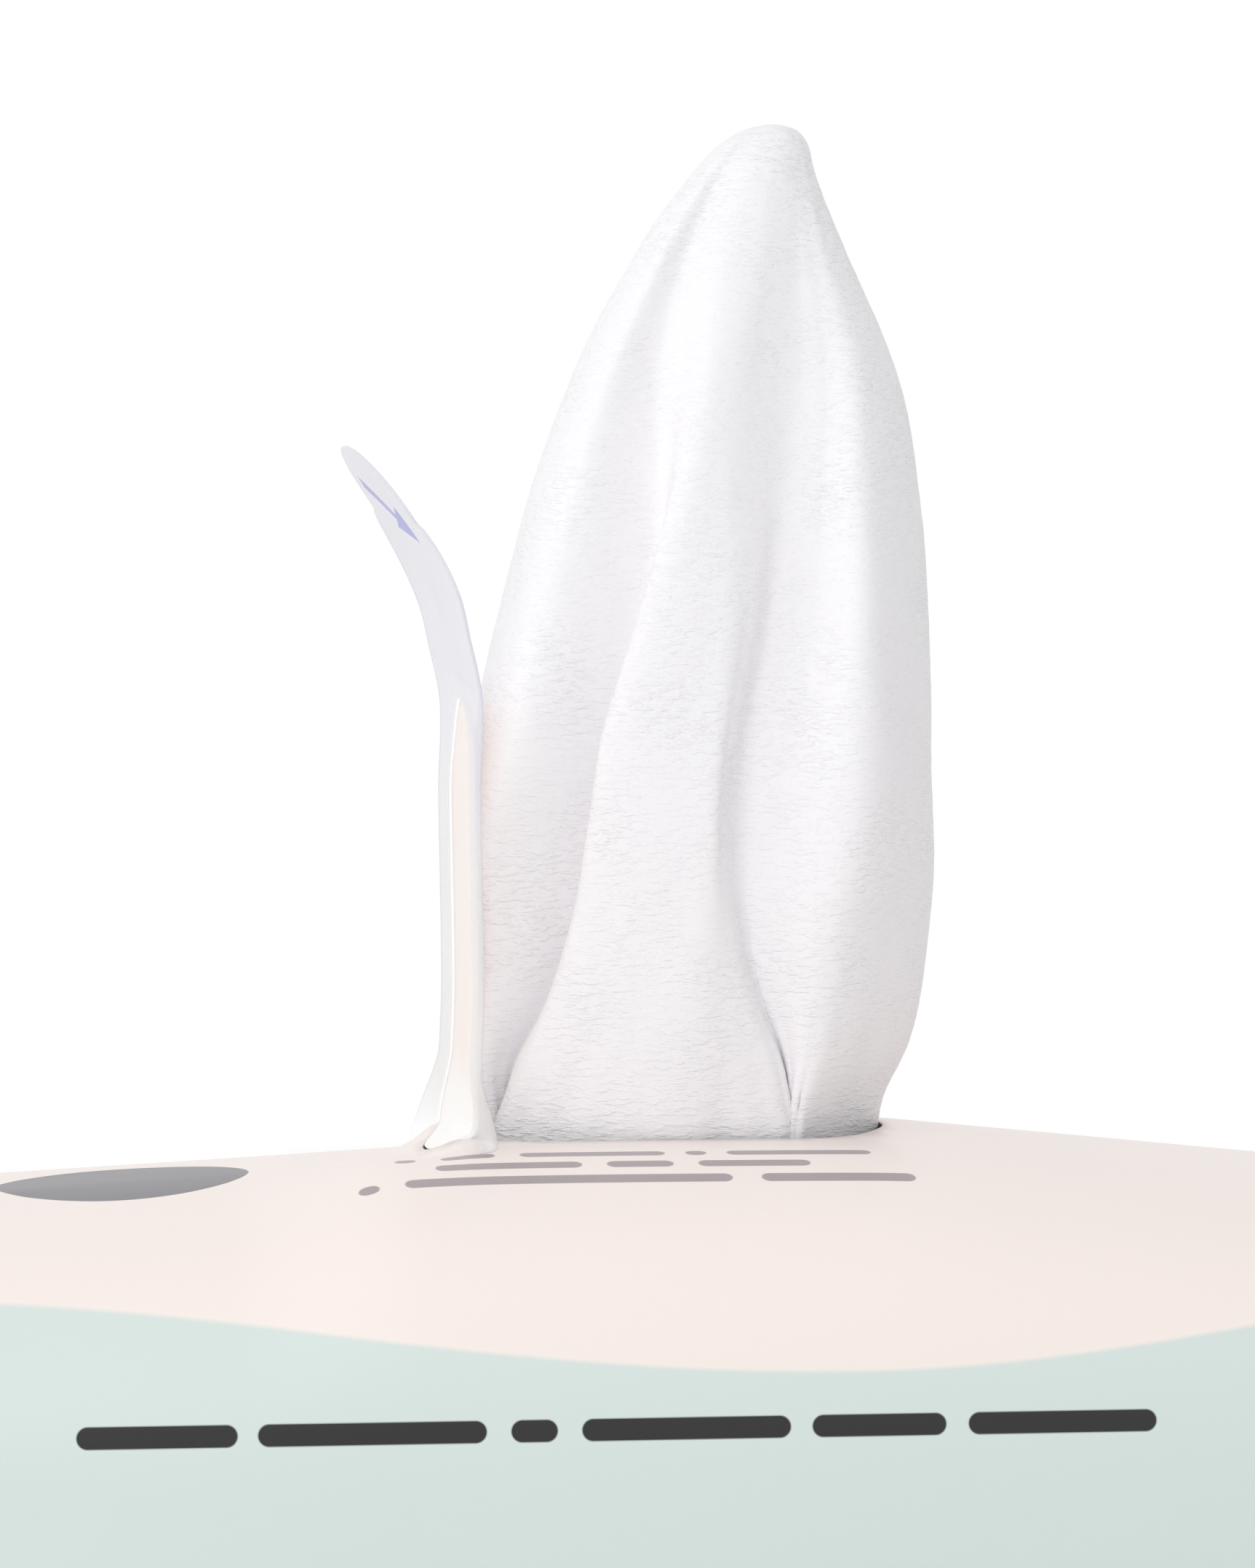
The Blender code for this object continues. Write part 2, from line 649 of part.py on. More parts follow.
def fold_places(height):
    """Where each fold of the pulled wipe is, as x and y, at one share of the wipe's height."""
    left, right, deep = at_height(WIPE_OUTLINE, height)
    middle = OPENING_X + OPENING_LENGTH * (left + right) / 4
    half = OPENING_LENGTH * (right - left) / 4
    depth = OPENING_WIDTH / 2 * deep
    places = []
    for levels in WIPE_FOLDS.values():
        table = [(level, *place) for level, place in zip(FOLD_LEVELS, levels)]
        across, deep = at_height(table, height)
        places.append((middle + half * across, depth * deep))
    return places


def wipe_row(height):
    """One row across the pulled wipe, from its left hem round to its right hem, at a share of its height."""
    places = fold_places(height)
    steps = (len(places) - 1) * FOLD_STEPS
    row = []
    for step in range(steps + 1):
        x, y = through_points(places, step / FOLD_STEPS)
        row.append(Vector((x, y, BODY_HEIGHT + WIPE_HEIGHT * height)))
    return row


def make_pulled_wipe(collection):
    """The wipe that stands up through the opening: gathered folds that run together at its tip."""
    cloth = make_material("Pulled cloth", (0.93, 0.92, 0.93), 0.9)
    foot = (next_height(OPENING_X, 0.0) + CLOTH / 2 + GAP - BODY_HEIGHT) / WIPE_HEIGHT
    tip = WIPE_OUTLINE[-1][0]
    heights = []
    for row in range(WIPE_ROWS + 1):
        heights.append(foot + (tip - foot) * math.sin(math.pi / 2 * row / WIPE_ROWS))
    data = sheet_mesh("pulled_wipe", [wipe_row(height) for height in heights])
    wipe = add_object("pulled_wipe", data, collection, cloth)
    add_solidify(wipe, CLOTH, 0.0)
    return wipe


def main():
    clear_scene()
    parts = new_collection("wet_wipes_pack")
    cutters = new_collection("cutters")
    make_pouch(parts, cutters)
    make_label(parts)
    make_cut_out_panel(parts)
    make_stack(parts)
    make_next_wipe(parts)
    make_pulled_wipe(parts)


main()
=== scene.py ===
"""The dressed wet wipes pack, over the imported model.

Everything is in metres, in the part's own frame: X runs along the pack, -Y to its long front and +Z up.
"""

from math import atan, copysign, cos, exp, hypot, pi, radians, sin, sqrt, tau

import bmesh
import bpy
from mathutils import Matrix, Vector, noise


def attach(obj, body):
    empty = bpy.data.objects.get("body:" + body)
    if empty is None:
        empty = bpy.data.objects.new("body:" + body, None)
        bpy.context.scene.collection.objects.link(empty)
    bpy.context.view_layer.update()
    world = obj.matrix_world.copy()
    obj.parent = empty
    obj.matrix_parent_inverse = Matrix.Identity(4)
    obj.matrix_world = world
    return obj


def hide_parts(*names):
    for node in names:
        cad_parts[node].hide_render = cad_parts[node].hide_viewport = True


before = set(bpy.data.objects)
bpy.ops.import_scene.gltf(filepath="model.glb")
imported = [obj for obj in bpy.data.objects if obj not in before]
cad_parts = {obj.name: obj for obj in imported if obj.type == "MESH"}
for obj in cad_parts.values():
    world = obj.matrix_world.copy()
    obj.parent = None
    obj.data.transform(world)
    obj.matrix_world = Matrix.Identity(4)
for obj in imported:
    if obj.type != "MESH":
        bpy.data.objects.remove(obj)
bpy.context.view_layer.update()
scene = bpy.context.scene

# Sizes of the solids, as the part's own source has them or works them out
FILM = 0.0003
LABEL_FILM = 0.00025
CLOTH = 0.0006
GAP = 0.0003
BODY_LENGTH = 0.204
BODY_WIDTH = 0.114
BODY_HEIGHT = 0.060
SEAL_LEVEL = 0.024
BASE_CORNER = 0.012
SIDE_BULGE = 0.0006
CROWN_POWER = 2.8
END_CROWN_POWER = 7.0
END_ROUND = 0.014
END_POWER = 3.0
TUCK_DEPTH = 0.020
TUCK_LENGTH = 0.0085
RIGHT_FALL = 0.105
LEFT_FALL = 0.055
LIP_RISE = 0.0034
FALL_START = 0.027
FALL_ROUND = 0.006
SEAM_WIDTH = 0.012
SEAM_GROOVE = 0.0006
SEAM_GROOVE_DEPTH = 0.0004
FIN_LENGTH = 0.012
FIN_THICKNESS = 0.0016
FIN_OVERLAP = 0.0015
RIB_COUNT = 7
RIB_DEPTH = 0.0003
TOOTH_PITCH = 0.004
TOOTH_DEPTH = 0.0015
OPENING_LENGTH = 0.0575
OPENING_WIDTH = 0.030
OPENING_RADIUS = 0.014
OPENING_X = 0.0
CUT_GAP = 0.0003
LABEL_LENGTH = 0.108
LABEL_WIDTH = 0.056
LABEL_CORNER = 0.010
STUCK_LENGTH = 0.0188
FOLD_INSET = 0.00255
FOLD_X = OPENING_X - OPENING_LENGTH / 2 + FOLD_INSET
STUCK_END_X = FOLD_X - STUCK_LENGTH
TAB_WIDTH = 0.037
TAB_LENGTH = 0.0105
TAB_POWER = 2.2
TIP_WIDTH = 0.0008
LABEL_SKEW = 0.105
STACK_LENGTH = 0.180
STACK_WIDTH = 0.104
STACK_HEIGHT = 0.047
STACK_CORNER = 0.009
STACK_SHOULDER = 0.96
FOLD_PITCH = 0.0016
FOLD_NOTCH = 0.0008
NEXT_LENGTH = 0.172
NEXT_WIDTH = 0.084
NEXT_RISE = 0.0035
NEXT_RISE_LENGTH = 0.022
NEXT_RISE_WIDTH = 0.014
WIPE_HEIGHT = 0.124

# Where the dressed film differs from the solid's: the lip starts further out and fades towards the front,
# and the rim sags in front of the opening
LIP_START = 0.024
LIP_RUN = 0.0065
LIP_FRONT = 0.004
LIP_FADE = 0.030
LIP_FADE_X = -0.055
LIP_FADE_RUN = 0.022
RIM_DIP = 0.001
RIM_DIP_WIDTH = 0.009
RIM_DIP_END = 0.024
RIM_DIP_RUN = 0.014

SKEW_RISE = 0.009  # height by which the label has turned square to the pack
# Middle line of the label's peeled part, from the fold and the pack's top, in shares of the label's length
PEEL_LINE = [
    (0.0093, 0.0037), (0.0130, 0.0231), (0.0162, 0.0509), (0.0190, 0.0972),
    (0.0204, 0.1481), (0.0194, 0.2222), (0.0176, 0.2963), (0.0157, 0.3889),
    (0.0176, 0.4491), (0.0157, 0.4954), (0.0037, 0.5500), (-0.0093, 0.6019),
    (-0.0361, 0.6593), (-0.0704, 0.7130), (-0.1093, 0.7667), (-0.1481, 0.8204),
]
# The pulled wipe's outline, as shares: of its height, of half the opening's length to the left and to the
# right, and of half the opening's width
WIPE_OUTLINE = [
    (-0.0645, -0.626, 0.957, 0.900), (0.0161, -0.640, 0.974, 0.960),
    (0.0726, -0.696, 1.085, 1.020), (0.1935, -0.748, 1.190, 1.100),
    (0.3710, -0.765, 1.214, 1.167), (0.5323, -0.626, 1.203, 1.067),
    (0.7258, -0.365, 1.099, 0.800), (0.8710, -0.049, 0.849, 0.533),
    (0.9516, 0.195, 0.713, 0.380), (0.9830, 0.330, 0.680, 0.250),
    (0.9944, 0.415, 0.638, 0.150), (1.0000, 0.537, 0.541, 0.006),
]
# The wipe's folds in their order round it. Each is a line up the wipe, in per cent of its height, and of the
# outline's half width and half depth there
WIPE_FOLDS = {
    "left_hem": ((0, -52, 20), (21, -50, 28), (40, -48, 34), (73, -40, 36), (97, -45, 60)),
    "lobe_back": ((0, -80, 40), (21, -86, 48), (40, -84, 52), (73, -84, 46), (97, -84, 45)),
    "lobe": (
        (0, -116, 0), (5, -114, 2), (11, -105, 8), (21, -100, 12), (40, -100, 20), (73, -100, 12),
        (97, -100, 0),
    ),
    "lobe_front": (
        (0, -114, -40), (5, -112, -42), (9, -106, -42), (14, -99, -43), (20, -97, -46), (27, -97, -50),
        (32, -94, -55), (40, -88, -60), (50, -86, -62), (62, -85, -64), (73, -84, -63), (88, -82, -66),
        (97, -80, -66),
    ),
    "tuck": (
        (0, -102, -30), (5, -93, -30), (12, -70, -34), (20, -56, -42), (30, -47, -50), (40, -42, -54),
        (48, -38, -56), (58, -36, -57), (66, -42, -56), (73, -50, -55), (88, -56, -62), (97, -56, -78),
    ),
    "panel_edge": (
        (0, -105, -62), (6, -88, -72), (12, -74, -79), (20, -62, -84), (29, -54, -88), (40, -48, -92),
        (48, -42, -95), (55, -38, -96), (61, -34, -96), (74, -31, -95), (88, -28, -95), (97, -18, -97),
    ),
    "panel": (
        (0, -35, -96), (21, -12, -100), (30, -8, -101), (40, -6, -100), (48, -5, -100), (58, -10, -99),
        (66, -12, -98), (73, -12, -98), (88, 4, -100), (97, 14, -100),
    ),
    "panel_right": (
        (0, 42, -90), (5, 31, -90), (12, 14, -91), (20, 4, -91), (30, 0, -92), (40, 4, -91), (48, 8, -89),
        (58, 9, -86), (66, 7, -83), (73, 8, -82), (88, 27, -89), (97, 42, -92),
    ),
    "slit": (
        (0, 50, -76), (5, 39, -75), (14, 19, -74), (20, 12, -74), (25, 9, -74), (32, 10, -75),
        (40, 14, -74), (50, 21, -73), (61, 25, -69), (72, 30, -65), (83, 39, -72), (90, 48, -78),
        (97, 60, -80),
    ),
    "ridge_edge": (
        (0, 52, -82), (5, 43, -80), (14, 26, -79), (20, 22, -78), (25, 21, -78), (32, 25, -79),
        (40, 32, -77), (50, 39, -74), (61, 43, -70), (72, 48, -66), (83, 56, -68), (97, 71, -68),
    ),
    "ridge": (
        (0, 54, -87), (11, 54, -90), (21, 57, -94), (29, 63, -94), (37, 66, -91), (47, 66, -87),
        (59, 67, -81), (69, 69, -74), (79, 75, -65), (88, 80, -56), (97, 84, -50),
    ),
    "right_side": ((0, 100, -14), (21, 100, -15), (40, 100, -5), (73, 100, 0), (97, 100, -5)),
    "right_back": ((0, 93, 38), (8, 90, 46), (21, 85, 55), (40, 85, 60), (73, 78, 58), (97, 80, 60)),
    "back_valley": ((0, 46, 4), (21, 46, 8), (40, 46, 14), (73, 38, 36), (97, 35, 86)),
    "back_ridge": ((0, 16, 60), (21, 16, 85), (40, 16, 92), (73, 2, 86), (97, -5, 100)),
    "inner_valley": ((0, -16, 30), (21, -18, 52), (40, -20, 62), (73, -26, 70), (97, -30, 95)),
    "right_hem": ((0, -80, 47), (21, -87, 55), (40, -88, 58), (73, -88, 52), (97, -88, 51)),
}

# How finely the dressed pieces are built
SECTION_POINTS = 64  # round half of the pouch
DENSE_STEPS = 60
STATION_STEP = 0.002
END_STEPS = 16
TOOTH_STEPS = 8
RIB_STEPS = 8
STUCK_STEPS = 10
LABEL_ROWS = 240
LABEL_COLUMNS = 28
LINE_STEPS = 600
STACK_STEPS = 110
STACK_FLOOR_STEPS = 12
STACK_CORNER_STEPS = 8
STACK_FOLD_STEPS = 8  # round one fold
STACK_TOP_STEPS = 24
NEXT_ROWS = 150
NEXT_COLUMNS = 80
WIPE_ROWS = 190
FOLD_STEPS = 12

# The film's creases: how deep they are and how far they reach. Waves are counted in a metre along X, Y, Z
GATHER_DEPTH = 0.0016  # gathers at the pouch's ends, which fade away from the fins
GATHER_START = 0.004
GATHER_RUN = 0.016
GATHER_WAVES = (12, 55, 90)
FINE_GATHER_SHARE = 0.35
FINE_GATHER_WAVES = (40, 160, 60)
SLACK_DEPTH = 0.0002
SLACK_WAVES = (16, 22, 30)
GUSSET_START = 0.45  # share of the width where the pouch's side starts
BASE_LEVEL = 0.001  # film below this stays flat, and creases grow above it
BASE_RUN = 0.006
RIM_FLAT = 0.002  # film this near to the opening stays smooth, and creases grow beyond it
RIM_RUN = 0.015
FIN_THINNING = 0.45
FIN_THIN_END = 0.625
FIN_WAVE_DEPTH = 0.0016
FIN_WAVES = 28

# The folded wipes in the pouch
STACK_FLOOR = 0.001
STACK_FLAT = 0.8  # share of the width where the flat underside ends
FOLD_SHIFT = 0.0004
# Waves of the folds at its sides: depth, waves in a metre, and how much each layer and each side differs
FOLD_RIPPLES = ((0.0003, 30, 1.7, 4.0), (0.0001, 160, 2.3, 9.0))
STACK_SAG = 0.00025
STACK_SAG_WAVES = 60
NEXT_FOLD_RISE = 0.0007  # soft folds of the next wipe under the opening
NEXT_FOLD_LENGTH = 0.034
NEXT_FOLD_WIDTH = 0.020
NEXT_FOLD_WAVES = (95, 60)
NEXT_FOLD_SLANT = 30
NEXT_FOLD_LEVEL = 0.6

# The pulled wipe's relief, with waves counted round it and up it, or in a metre across and up
LONG_FOLD_DEPTH = 0.00035
LONG_FOLD_WAVES = (20, 2)
BUCKLES = ((0.00012, 130, 90), (0.00005, 420, 700))  # each with its depth first
PINCH_DEPTH = 0.0007  # creases at its foot
PINCH_REACH = 0.07
PINCH_WAVES = (70, 5)
SMOOTH_TIP = 0.30  # share of its height where the long folds fade

# How much of the light the label film stops, where it is stuck down and where its adhesive is bare
LABEL_CLEAR = 0.02
LABEL_HAZE = 0.55
BEND_HIGHLIGHT_RISE = 0.006  # the cut out film has a painted highlight this far up its foot, where it is bent most and catches the light
HAZE_START = 0.0215
HAZE_RUN = 0.0025
TAB_TINT_START = 0.012  # beyond the panel's middle, where the label slowly turns bluish
TAB_TINT_RUN = 0.016
MILKY_START = 0.002  # beyond the panel's end, where the label isn't clear any more
PANEL_EDGE = 0.0002
# Triangles of the arrow on the tab, as distances along and across the label, each wound the same way
ARROW = (
    ((0.1030, 0.0110), (0.1012, 0.0125), (0.0966, -0.0020)),
    ((0.1030, 0.0110), (0.0966, -0.0020), (0.0978, -0.0030)),
    ((0.0995, -0.0065), (0.0958, 0.0035), (0.0945, -0.0110)),
)

# Print on the pouch
WAVE_LOW = 0.0345  # height of the mint field's edge where the wave is lowest
WAVE_HIGH = 0.0435
WAVE_X = 0.017
WAVE_LEFT = 0.115
WAVE_RIGHT = 0.095
BADGE = (-0.0665, -0.010, 0.0155)  # x, y and radius of the plain round badge
# Plain bars in the place of the lettering, each as its left end and its right end
SIDE_BARS = ((-0.0733, -0.0549), (-0.0526, -0.0263), (-0.0235, -0.0181), (-0.0153, 0.0090), (0.0115, 0.0272),
             (0.0298, 0.0520))
SIDE_BAR_LEVEL = 0.0283
SIDE_BAR_HEIGHT = 0.0026
TOP_BARS = {
    -0.0280: ((-0.0345, -0.0320), (-0.0290, -0.0225), (-0.0195, -0.0020), (0.0005, 0.0030),
              (0.0055, 0.0230)),
    -0.0325: ((-0.0300, -0.0125), (-0.0095, -0.0015), (0.0015, 0.0150)),
    -0.0370: ((-0.0395, -0.0370), (-0.0340, 0.0050), (0.0085, 0.0270)),
}
TOP_BAR_WIDTH = 0.0022
PRINT_EDGE = 0.0001  # softness of the print's edges
ARROW_EDGE = 0.00012
WAVE_EDGE = 0.0003

# Lamps, each with its place, size and power, and the point that both face
LAMPS = {
    "key": ((-0.75, -1.05, 0.48), 0.6, 4.0),
    "side": ((-1.20, -0.25, 0.52), 0.45, 0.8),
}
LAMP_AIM = Vector((0, 0, 0.07))
WORLD_LEVEL = 0.71
WORLD_SLOPE = (-0.07, 0.0, 0.16)  # how much stronger the light is to the left and above
WHITE = (1.0, 1.0, 1.0, 1.0)
PALE_GREY = (0.90, 0.90, 0.90, 1.0)
FLOOR_RADIUS = 6.0
FLOOR_FADE = 0.50  # distance where the floor has half turned into the white background

# The camera looks at the middle of the opening, which it sees left of the middle and low in its frame
CAMERA_AZIMUTH = radians(7)
CAMERA_ELEVATION = radians(4)
CAMERA_ROLL = radians(0.2)
CAMERA_DISTANCE = 0.750
CAMERA_TARGET = Vector((0, 0, 0.058))
FRAME_SIZE = (1725, 2156)
FOCAL_PIXELS = 8250
TARGET_PIXEL = (895.3, 1563.1)
SENSOR_LONG_SIDE = 36.0


# Plain mathematics


def clamp(value, low=0.0, high=1.0):
    return max(low, min(high, value))


def smooth_step(value):
    value = clamp(value)
    return value * value * (3 - 2 * value)


def soft_ramp(value, rounding):
    """Zero below zero and equal to the value above it, with a rounded start."""
    return (value + hypot(value, rounding)) / 2


def quarter_turn(count):
    """Even angles from zero to a right angle."""
    return [pi / 2 * step / count for step in range(count + 1)]


def through_points(points, position):
    """A smooth curve through the points, where position counts the points passed."""
    last = len(points) - 1
    index = min(int(position), last - 1)
    part = position - index
    before, start, end, after = (points[int(clamp(index + step, 0, last))] for step in (-1, 0, 1, 2))
    result = []
    for a, b, c, d in zip(before, start, end, after):
        curve = 2 * b + (c - a) * part + (2 * a - 5 * b + 4 * c - d) * part**2
        result.append((curve + (3 * b - a - 3 * c + d) * part**3) / 2)
    return result


def read_curve(knots, values, at):
    """A smooth curve through values that are given at rising knots."""
    at = clamp(at, knots[0], knots[-1])
    index = max(i for i in range(len(knots) - 1) if knots[i] <= at)

    def slope(i):
        if 0 < i < len(knots) - 1:
            before, after = knots[i] - knots[i - 1], knots[i + 1] - knots[i]
            rise_before = (values[i] - values[i - 1]) / before
            rise_after = (values[i + 1] - values[i]) / after
            return (rise_before * after + rise_after * before) / (before + after)
        first = max(i - 1, 0)
        return (values[first + 1] - values[first]) / (knots[first + 1] - knots[first])

    span = knots[index + 1] - knots[index]
    part = (at - knots[index]) / span
    start, end = values[index], values[index + 1]
    bend = (2 * part**3 - 3 * part**2 + 1) * start + (3 * part**2 - 2 * part**3) * end
    lean = (part**3 - 2 * part**2 + part) * slope(index) + (part**3 - part**2) * slope(index + 1)
    return bend + span * lean


def depth_under_tip(height):
    """A measure that grows evenly down a round tip."""
    return sqrt(max(1 - height, 0.0))


def linear(red, green, blue):
    """A colour given as 0 to 255 on a screen, as linear values."""
    values = []
    for channel in (red, green, blue):
        share = channel / 255
        values.append(share / 12.92 if share <= 0.04045 else ((share + 0.055) / 1.055) ** 2.4)
    return (*values, 1.0)


# Mesh helpers


def mesh_object(name, mesh, angle=40):
    """An object of the finished mesh, with sharp edges where its faces meet at more than the angle."""
    data = bpy.data.meshes.new(name)
    mesh.to_mesh(data)
    mesh.free()
    item = bpy.data.objects.new(name, data)
    scene.collection.objects.link(item)
    data.shade_smooth()
    data.set_sharp_from_angle(angle=radians(angle))
    return item


def sheet_mesh(rows, uv_rows=None):
    """A mesh with faces between each two rows of points, and a UV map if places are given for it."""
    mesh = bmesh.new()
    verts = [[mesh.verts.new(point) for point in row] for row in rows]
    layer = mesh.loops.layers.uv.new("Place") if uv_rows else None
    for r, (lower, upper) in enumerate(zip(verts, verts[1:])):
        for i in range(len(lower) - 1):
            face = mesh.faces.new((lower[i], lower[i + 1], upper[i + 1], upper[i]))
            if layer:
                corners = ((r, i), (r, i + 1), (r + 1, i + 1), (r + 1, i))
                for loop, (row, column) in zip(face.loops, corners):
                    loop[layer].uv = uv_rows[row][column]
    bmesh.ops.recalc_face_normals(mesh, faces=mesh.faces)
    return mesh


def add_loft(mesh, rings):
    """Adds faces between each two rings of points, and closes both ends."""
    verts = [[mesh.verts.new(point) for point in ring] for ring in rings]
    faces = []
    for lower, upper in zip(verts, verts[1:]):
        for i in range(len(lower)):
            j = (i + 1) % len(lower)
            faces.append(mesh.faces.new((lower[i], lower[j], upper[j], upper[i])))
    faces.append(mesh.faces.new(verts[0][::-1]))
    faces.append(mesh.faces.new(verts[-1]))
    bmesh.ops.recalc_face_normals(mesh, faces=faces)


def ripple(x, y, z):
    """A smooth random height, which changes over about one unit of each measure."""
    return noise.noise(Vector((x, y, z)))


def thicken(item, thickness, offset=0.0):
    solidify = item.modifiers.new("Thickness", "SOLIDIFY")
    solidify.thickness = thickness
    solidify.offset = offset
    return item


def dress(item, node, material):
    """The piece stands for a CAD node and has its material."""
    item.data.materials.append(material)
    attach(item, "root")
    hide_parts(node)


# The pouch


def ridge_height(x):
    """Height of the pouch's middle line, without the lip at the label's fold."""
    right = RIGHT_FALL * soft_ramp(x - FALL_START, FALL_ROUND)
    left = LEFT_FALL * soft_ramp(-x - FALL_START, FALL_ROUND)
    return BODY_HEIGHT - right - left


def lip_height(x, y):
    """How much lower the film lies on the label's stuck side. Near the label it fades towards the front."""
    near_label = smooth_step((x - LIP_FADE_X) / LIP_FADE_RUN)
    reach = 1 - smooth_step((-y - LIP_FRONT) / LIP_FADE) * near_label
    return LIP_RISE * smooth_step((-x - LIP_START) / LIP_RUN) * reach


def rim_dip(x, y):
    """How far the film sags in front of the opening, under the pulled wipe."""
    across = (y + OPENING_WIDTH / 2) / RIM_DIP_WIDTH
    return RIM_DIP * exp(-across * across) * (1 - smooth_step((abs(x) - RIM_DIP_END) / RIM_DIP_RUN))


def crest_height(x):
    return ridge_height(x) - lip_height(x, 0.0)


def crown_share(across):
    return (1 - clamp(abs(across)) ** CROWN_POWER) ** (1 / CROWN_POWER)


def top_height(x, y):
    """Outer surface of the pouch's top film, away from its ends."""
    lowered = lip_height(x, y) + rim_dip(x, y)
    return SEAL_LEVEL + (ridge_height(x) - SEAL_LEVEL) * crown_share(2 * y / BODY_WIDTH) - lowered


def half_section(x, power, side):
    """The back or front half of the pouch's section, with evenly spaced points."""
    half = BODY_WIDTH / 2
    seam = SEAM_WIDTH / 2
    points = [(0.0, 0.0), (seam, 0.0), (seam, SEAM_GROOVE_DEPTH), (seam + SEAM_GROOVE, SEAM_GROOVE_DEPTH)]
    points.append((seam + SEAM_GROOVE, 0.0))
    fixed = len(points) - 1
    for angle in quarter_turn(DENSE_STEPS):
        across = half - SIDE_BULGE - BASE_CORNER + BASE_CORNER * sin(angle)
        points.append((across, BASE_CORNER * (1 - cos(angle))))
    crown = ridge_height(x) - SEAL_LEVEL
    for angle in quarter_turn(DENSE_STEPS):
        across = half * cos(angle) ** (2 / power)
        share = sin(angle) ** (2 / power)
        lowered = lip_height(x, side * across) + rim_dip(x, side * across)
        points.append((across, SEAL_LEVEL + crown * share - lowered * smooth_step(2 * share)))
    points[-1] = (0.0, points[-1][1])
    return points[:fixed] + evenly(points[fixed:], SECTION_POINTS)


def evenly(points, count):
    """The same line with that number of even steps."""
    lengths = [0.0]
    for (ax, ay), (bx, by) in zip(points, points[1:]):
        lengths.append(lengths[-1] + hypot(bx - ax, by - ay))
    result = []
    index = 0
    for step in range(count + 1):
        wanted = lengths[-1] * step / count
        while index < len(points) - 2 and lengths[index + 1] < wanted:
            index += 1
        span = max(lengths[index + 1] - lengths[index], 1e-12)
        part = clamp((wanted - lengths[index]) / span)
        (ax, ay), (bx, by) = points[index], points[index + 1]
        result.append((ax + (bx - ax) * part, ay + (by - ay) * part))
    return result


def pouch_stations():
    """Places along X with the share of the end that is passed there."""
    straight = BODY_LENGTH / 2 - END_ROUND
    count = round(2 * straight / STATION_STEP)
    inner = [(-straight + 2 * straight * step / count, 0.0) for step in range(count)]
    shares = [sin(angle) for angle in quarter_turn(END_STEPS)]
    right = [(straight + END_ROUND * share, share) for share in shares]
    return [(-x, share) for x, share in reversed(right[1:])] + inner + right


def film_creases(x, y, z):
    """How far the film stands in or out: gathers that run out from the fins, and slack film between them."""
    from_end = BODY_LENGTH / 2 - abs(x)
    gathered = exp(-from_end / GATHER_RUN) * clamp(from_end / GATHER_START)
    along, across, up = GATHER_WAVES
    turn = y * across + (z * up if abs(y) > BODY_WIDTH * GUSSET_START else 0.0)
    fold = ripple(turn, from_end * along, copysign(3.0, x))
    along, across, up = FINE_GATHER_WAVES
    fine = ripple(y * across, from_end * along, copysign(9.0, x) + z * up)
    along, across, up = SLACK_WAVES
    slack = ripple(x * along, y * across, z * up + 5.0)
    return GATHER_DEPTH * gathered * (fold + FINE_GATHER_SHARE * fine) + SLACK_DEPTH * slack


def pouch_ring(x, end_share, side):
    """Half section at x, flattened to the fin's level and tucked in at the side as the end is passed."""
    thinnest = FIN_THICKNESS / 4 / BODY_HEIGHT
    height_share = max((1 - end_share**END_POWER) ** (1 / END_POWER), thinnest)
    tuck_start = BODY_LENGTH / 2 - TUCK_LENGTH
    tuck = TUCK_DEPTH * clamp((abs(x) - tuck_start) / TUCK_LENGTH)
    power = CROWN_POWER + (END_CROWN_POWER - CROWN_POWER) * end_share**2
    ring = []
    for across, height in half_section(x, power, side):
        span = BODY_HEIGHT - SEAL_LEVEL if height > SEAL_LEVEL else SEAL_LEVEL
        from_seal = clamp(abs(height - SEAL_LEVEL) / span)
        outer = smooth_step((across - BODY_WIDTH / 4) / (BODY_WIDTH / 4))
        pulled_in = tuck * outer * (1 - from_seal)
        level = SEAL_LEVEL + (height - SEAL_LEVEL) * height_share
        ring.append((x, side * (across - pulled_in), level))
    return ring


def opening_distance(x, y):
    """Distance of a place from the opening's outline, negative inside it."""
    across_x = abs(x - OPENING_X) - (OPENING_LENGTH / 2 - OPENING_RADIUS)
    across_y = abs(y) - (OPENING_WIDTH / 2 - OPENING_RADIUS)
    outside = hypot(max(across_x, 0.0), max(across_y, 0.0))
    return outside + min(max(across_x, across_y), 0.0) - OPENING_RADIUS


def crease_film(mesh):
    """Moves the film in and out, but not at its flat underside, and not near the opening."""
    moves = []
    for vert in mesh.verts:
        x, y, z = vert.co
        if z > BASE_LEVEL:
            off_rim = smooth_step((opening_distance(x, y) - RIM_FLAT) / RIM_RUN) if z > SEAL_LEVEL else 1.0
            off_base = smooth_step((z - BASE_LEVEL) / BASE_RUN)
            moves.append((vert, vert.normal * film_creases(x, y, z) * off_rim * off_base))
    for vert, move in moves:
        vert.co += move


def cut_opening(mesh):
    """Takes the faces inside the opening out and pulls the edge that is left onto the opening's outline."""
    inside = []
    for face in mesh.faces:
        middle = face.calc_center_median()
        if middle.z > SEAL_LEVEL and opening_distance(middle.x, middle.y) < 0:
            inside.append(face)
    rim = {vert for face in inside for vert in face.verts}
    bmesh.ops.delete(mesh, geom=inside, context="FACES")
    step = 0.00001
    pulls = 3
    for vert in rim:
        if not vert.is_valid or not vert.link_faces:
            continue
        for _ in range(pulls):
            x, y = vert.co.x, vert.co.y
            gap = opening_distance(x, y)
            beside, behind = opening_distance(x + step, y), opening_distance(x, y + step)
            slope = Vector((beside - gap, behind - gap)) / step
            vert.co.x -= gap * slope.x
            vert.co.y -= gap * slope.y
        vert.co.z = top_height(vert.co.x, vert.co.y)


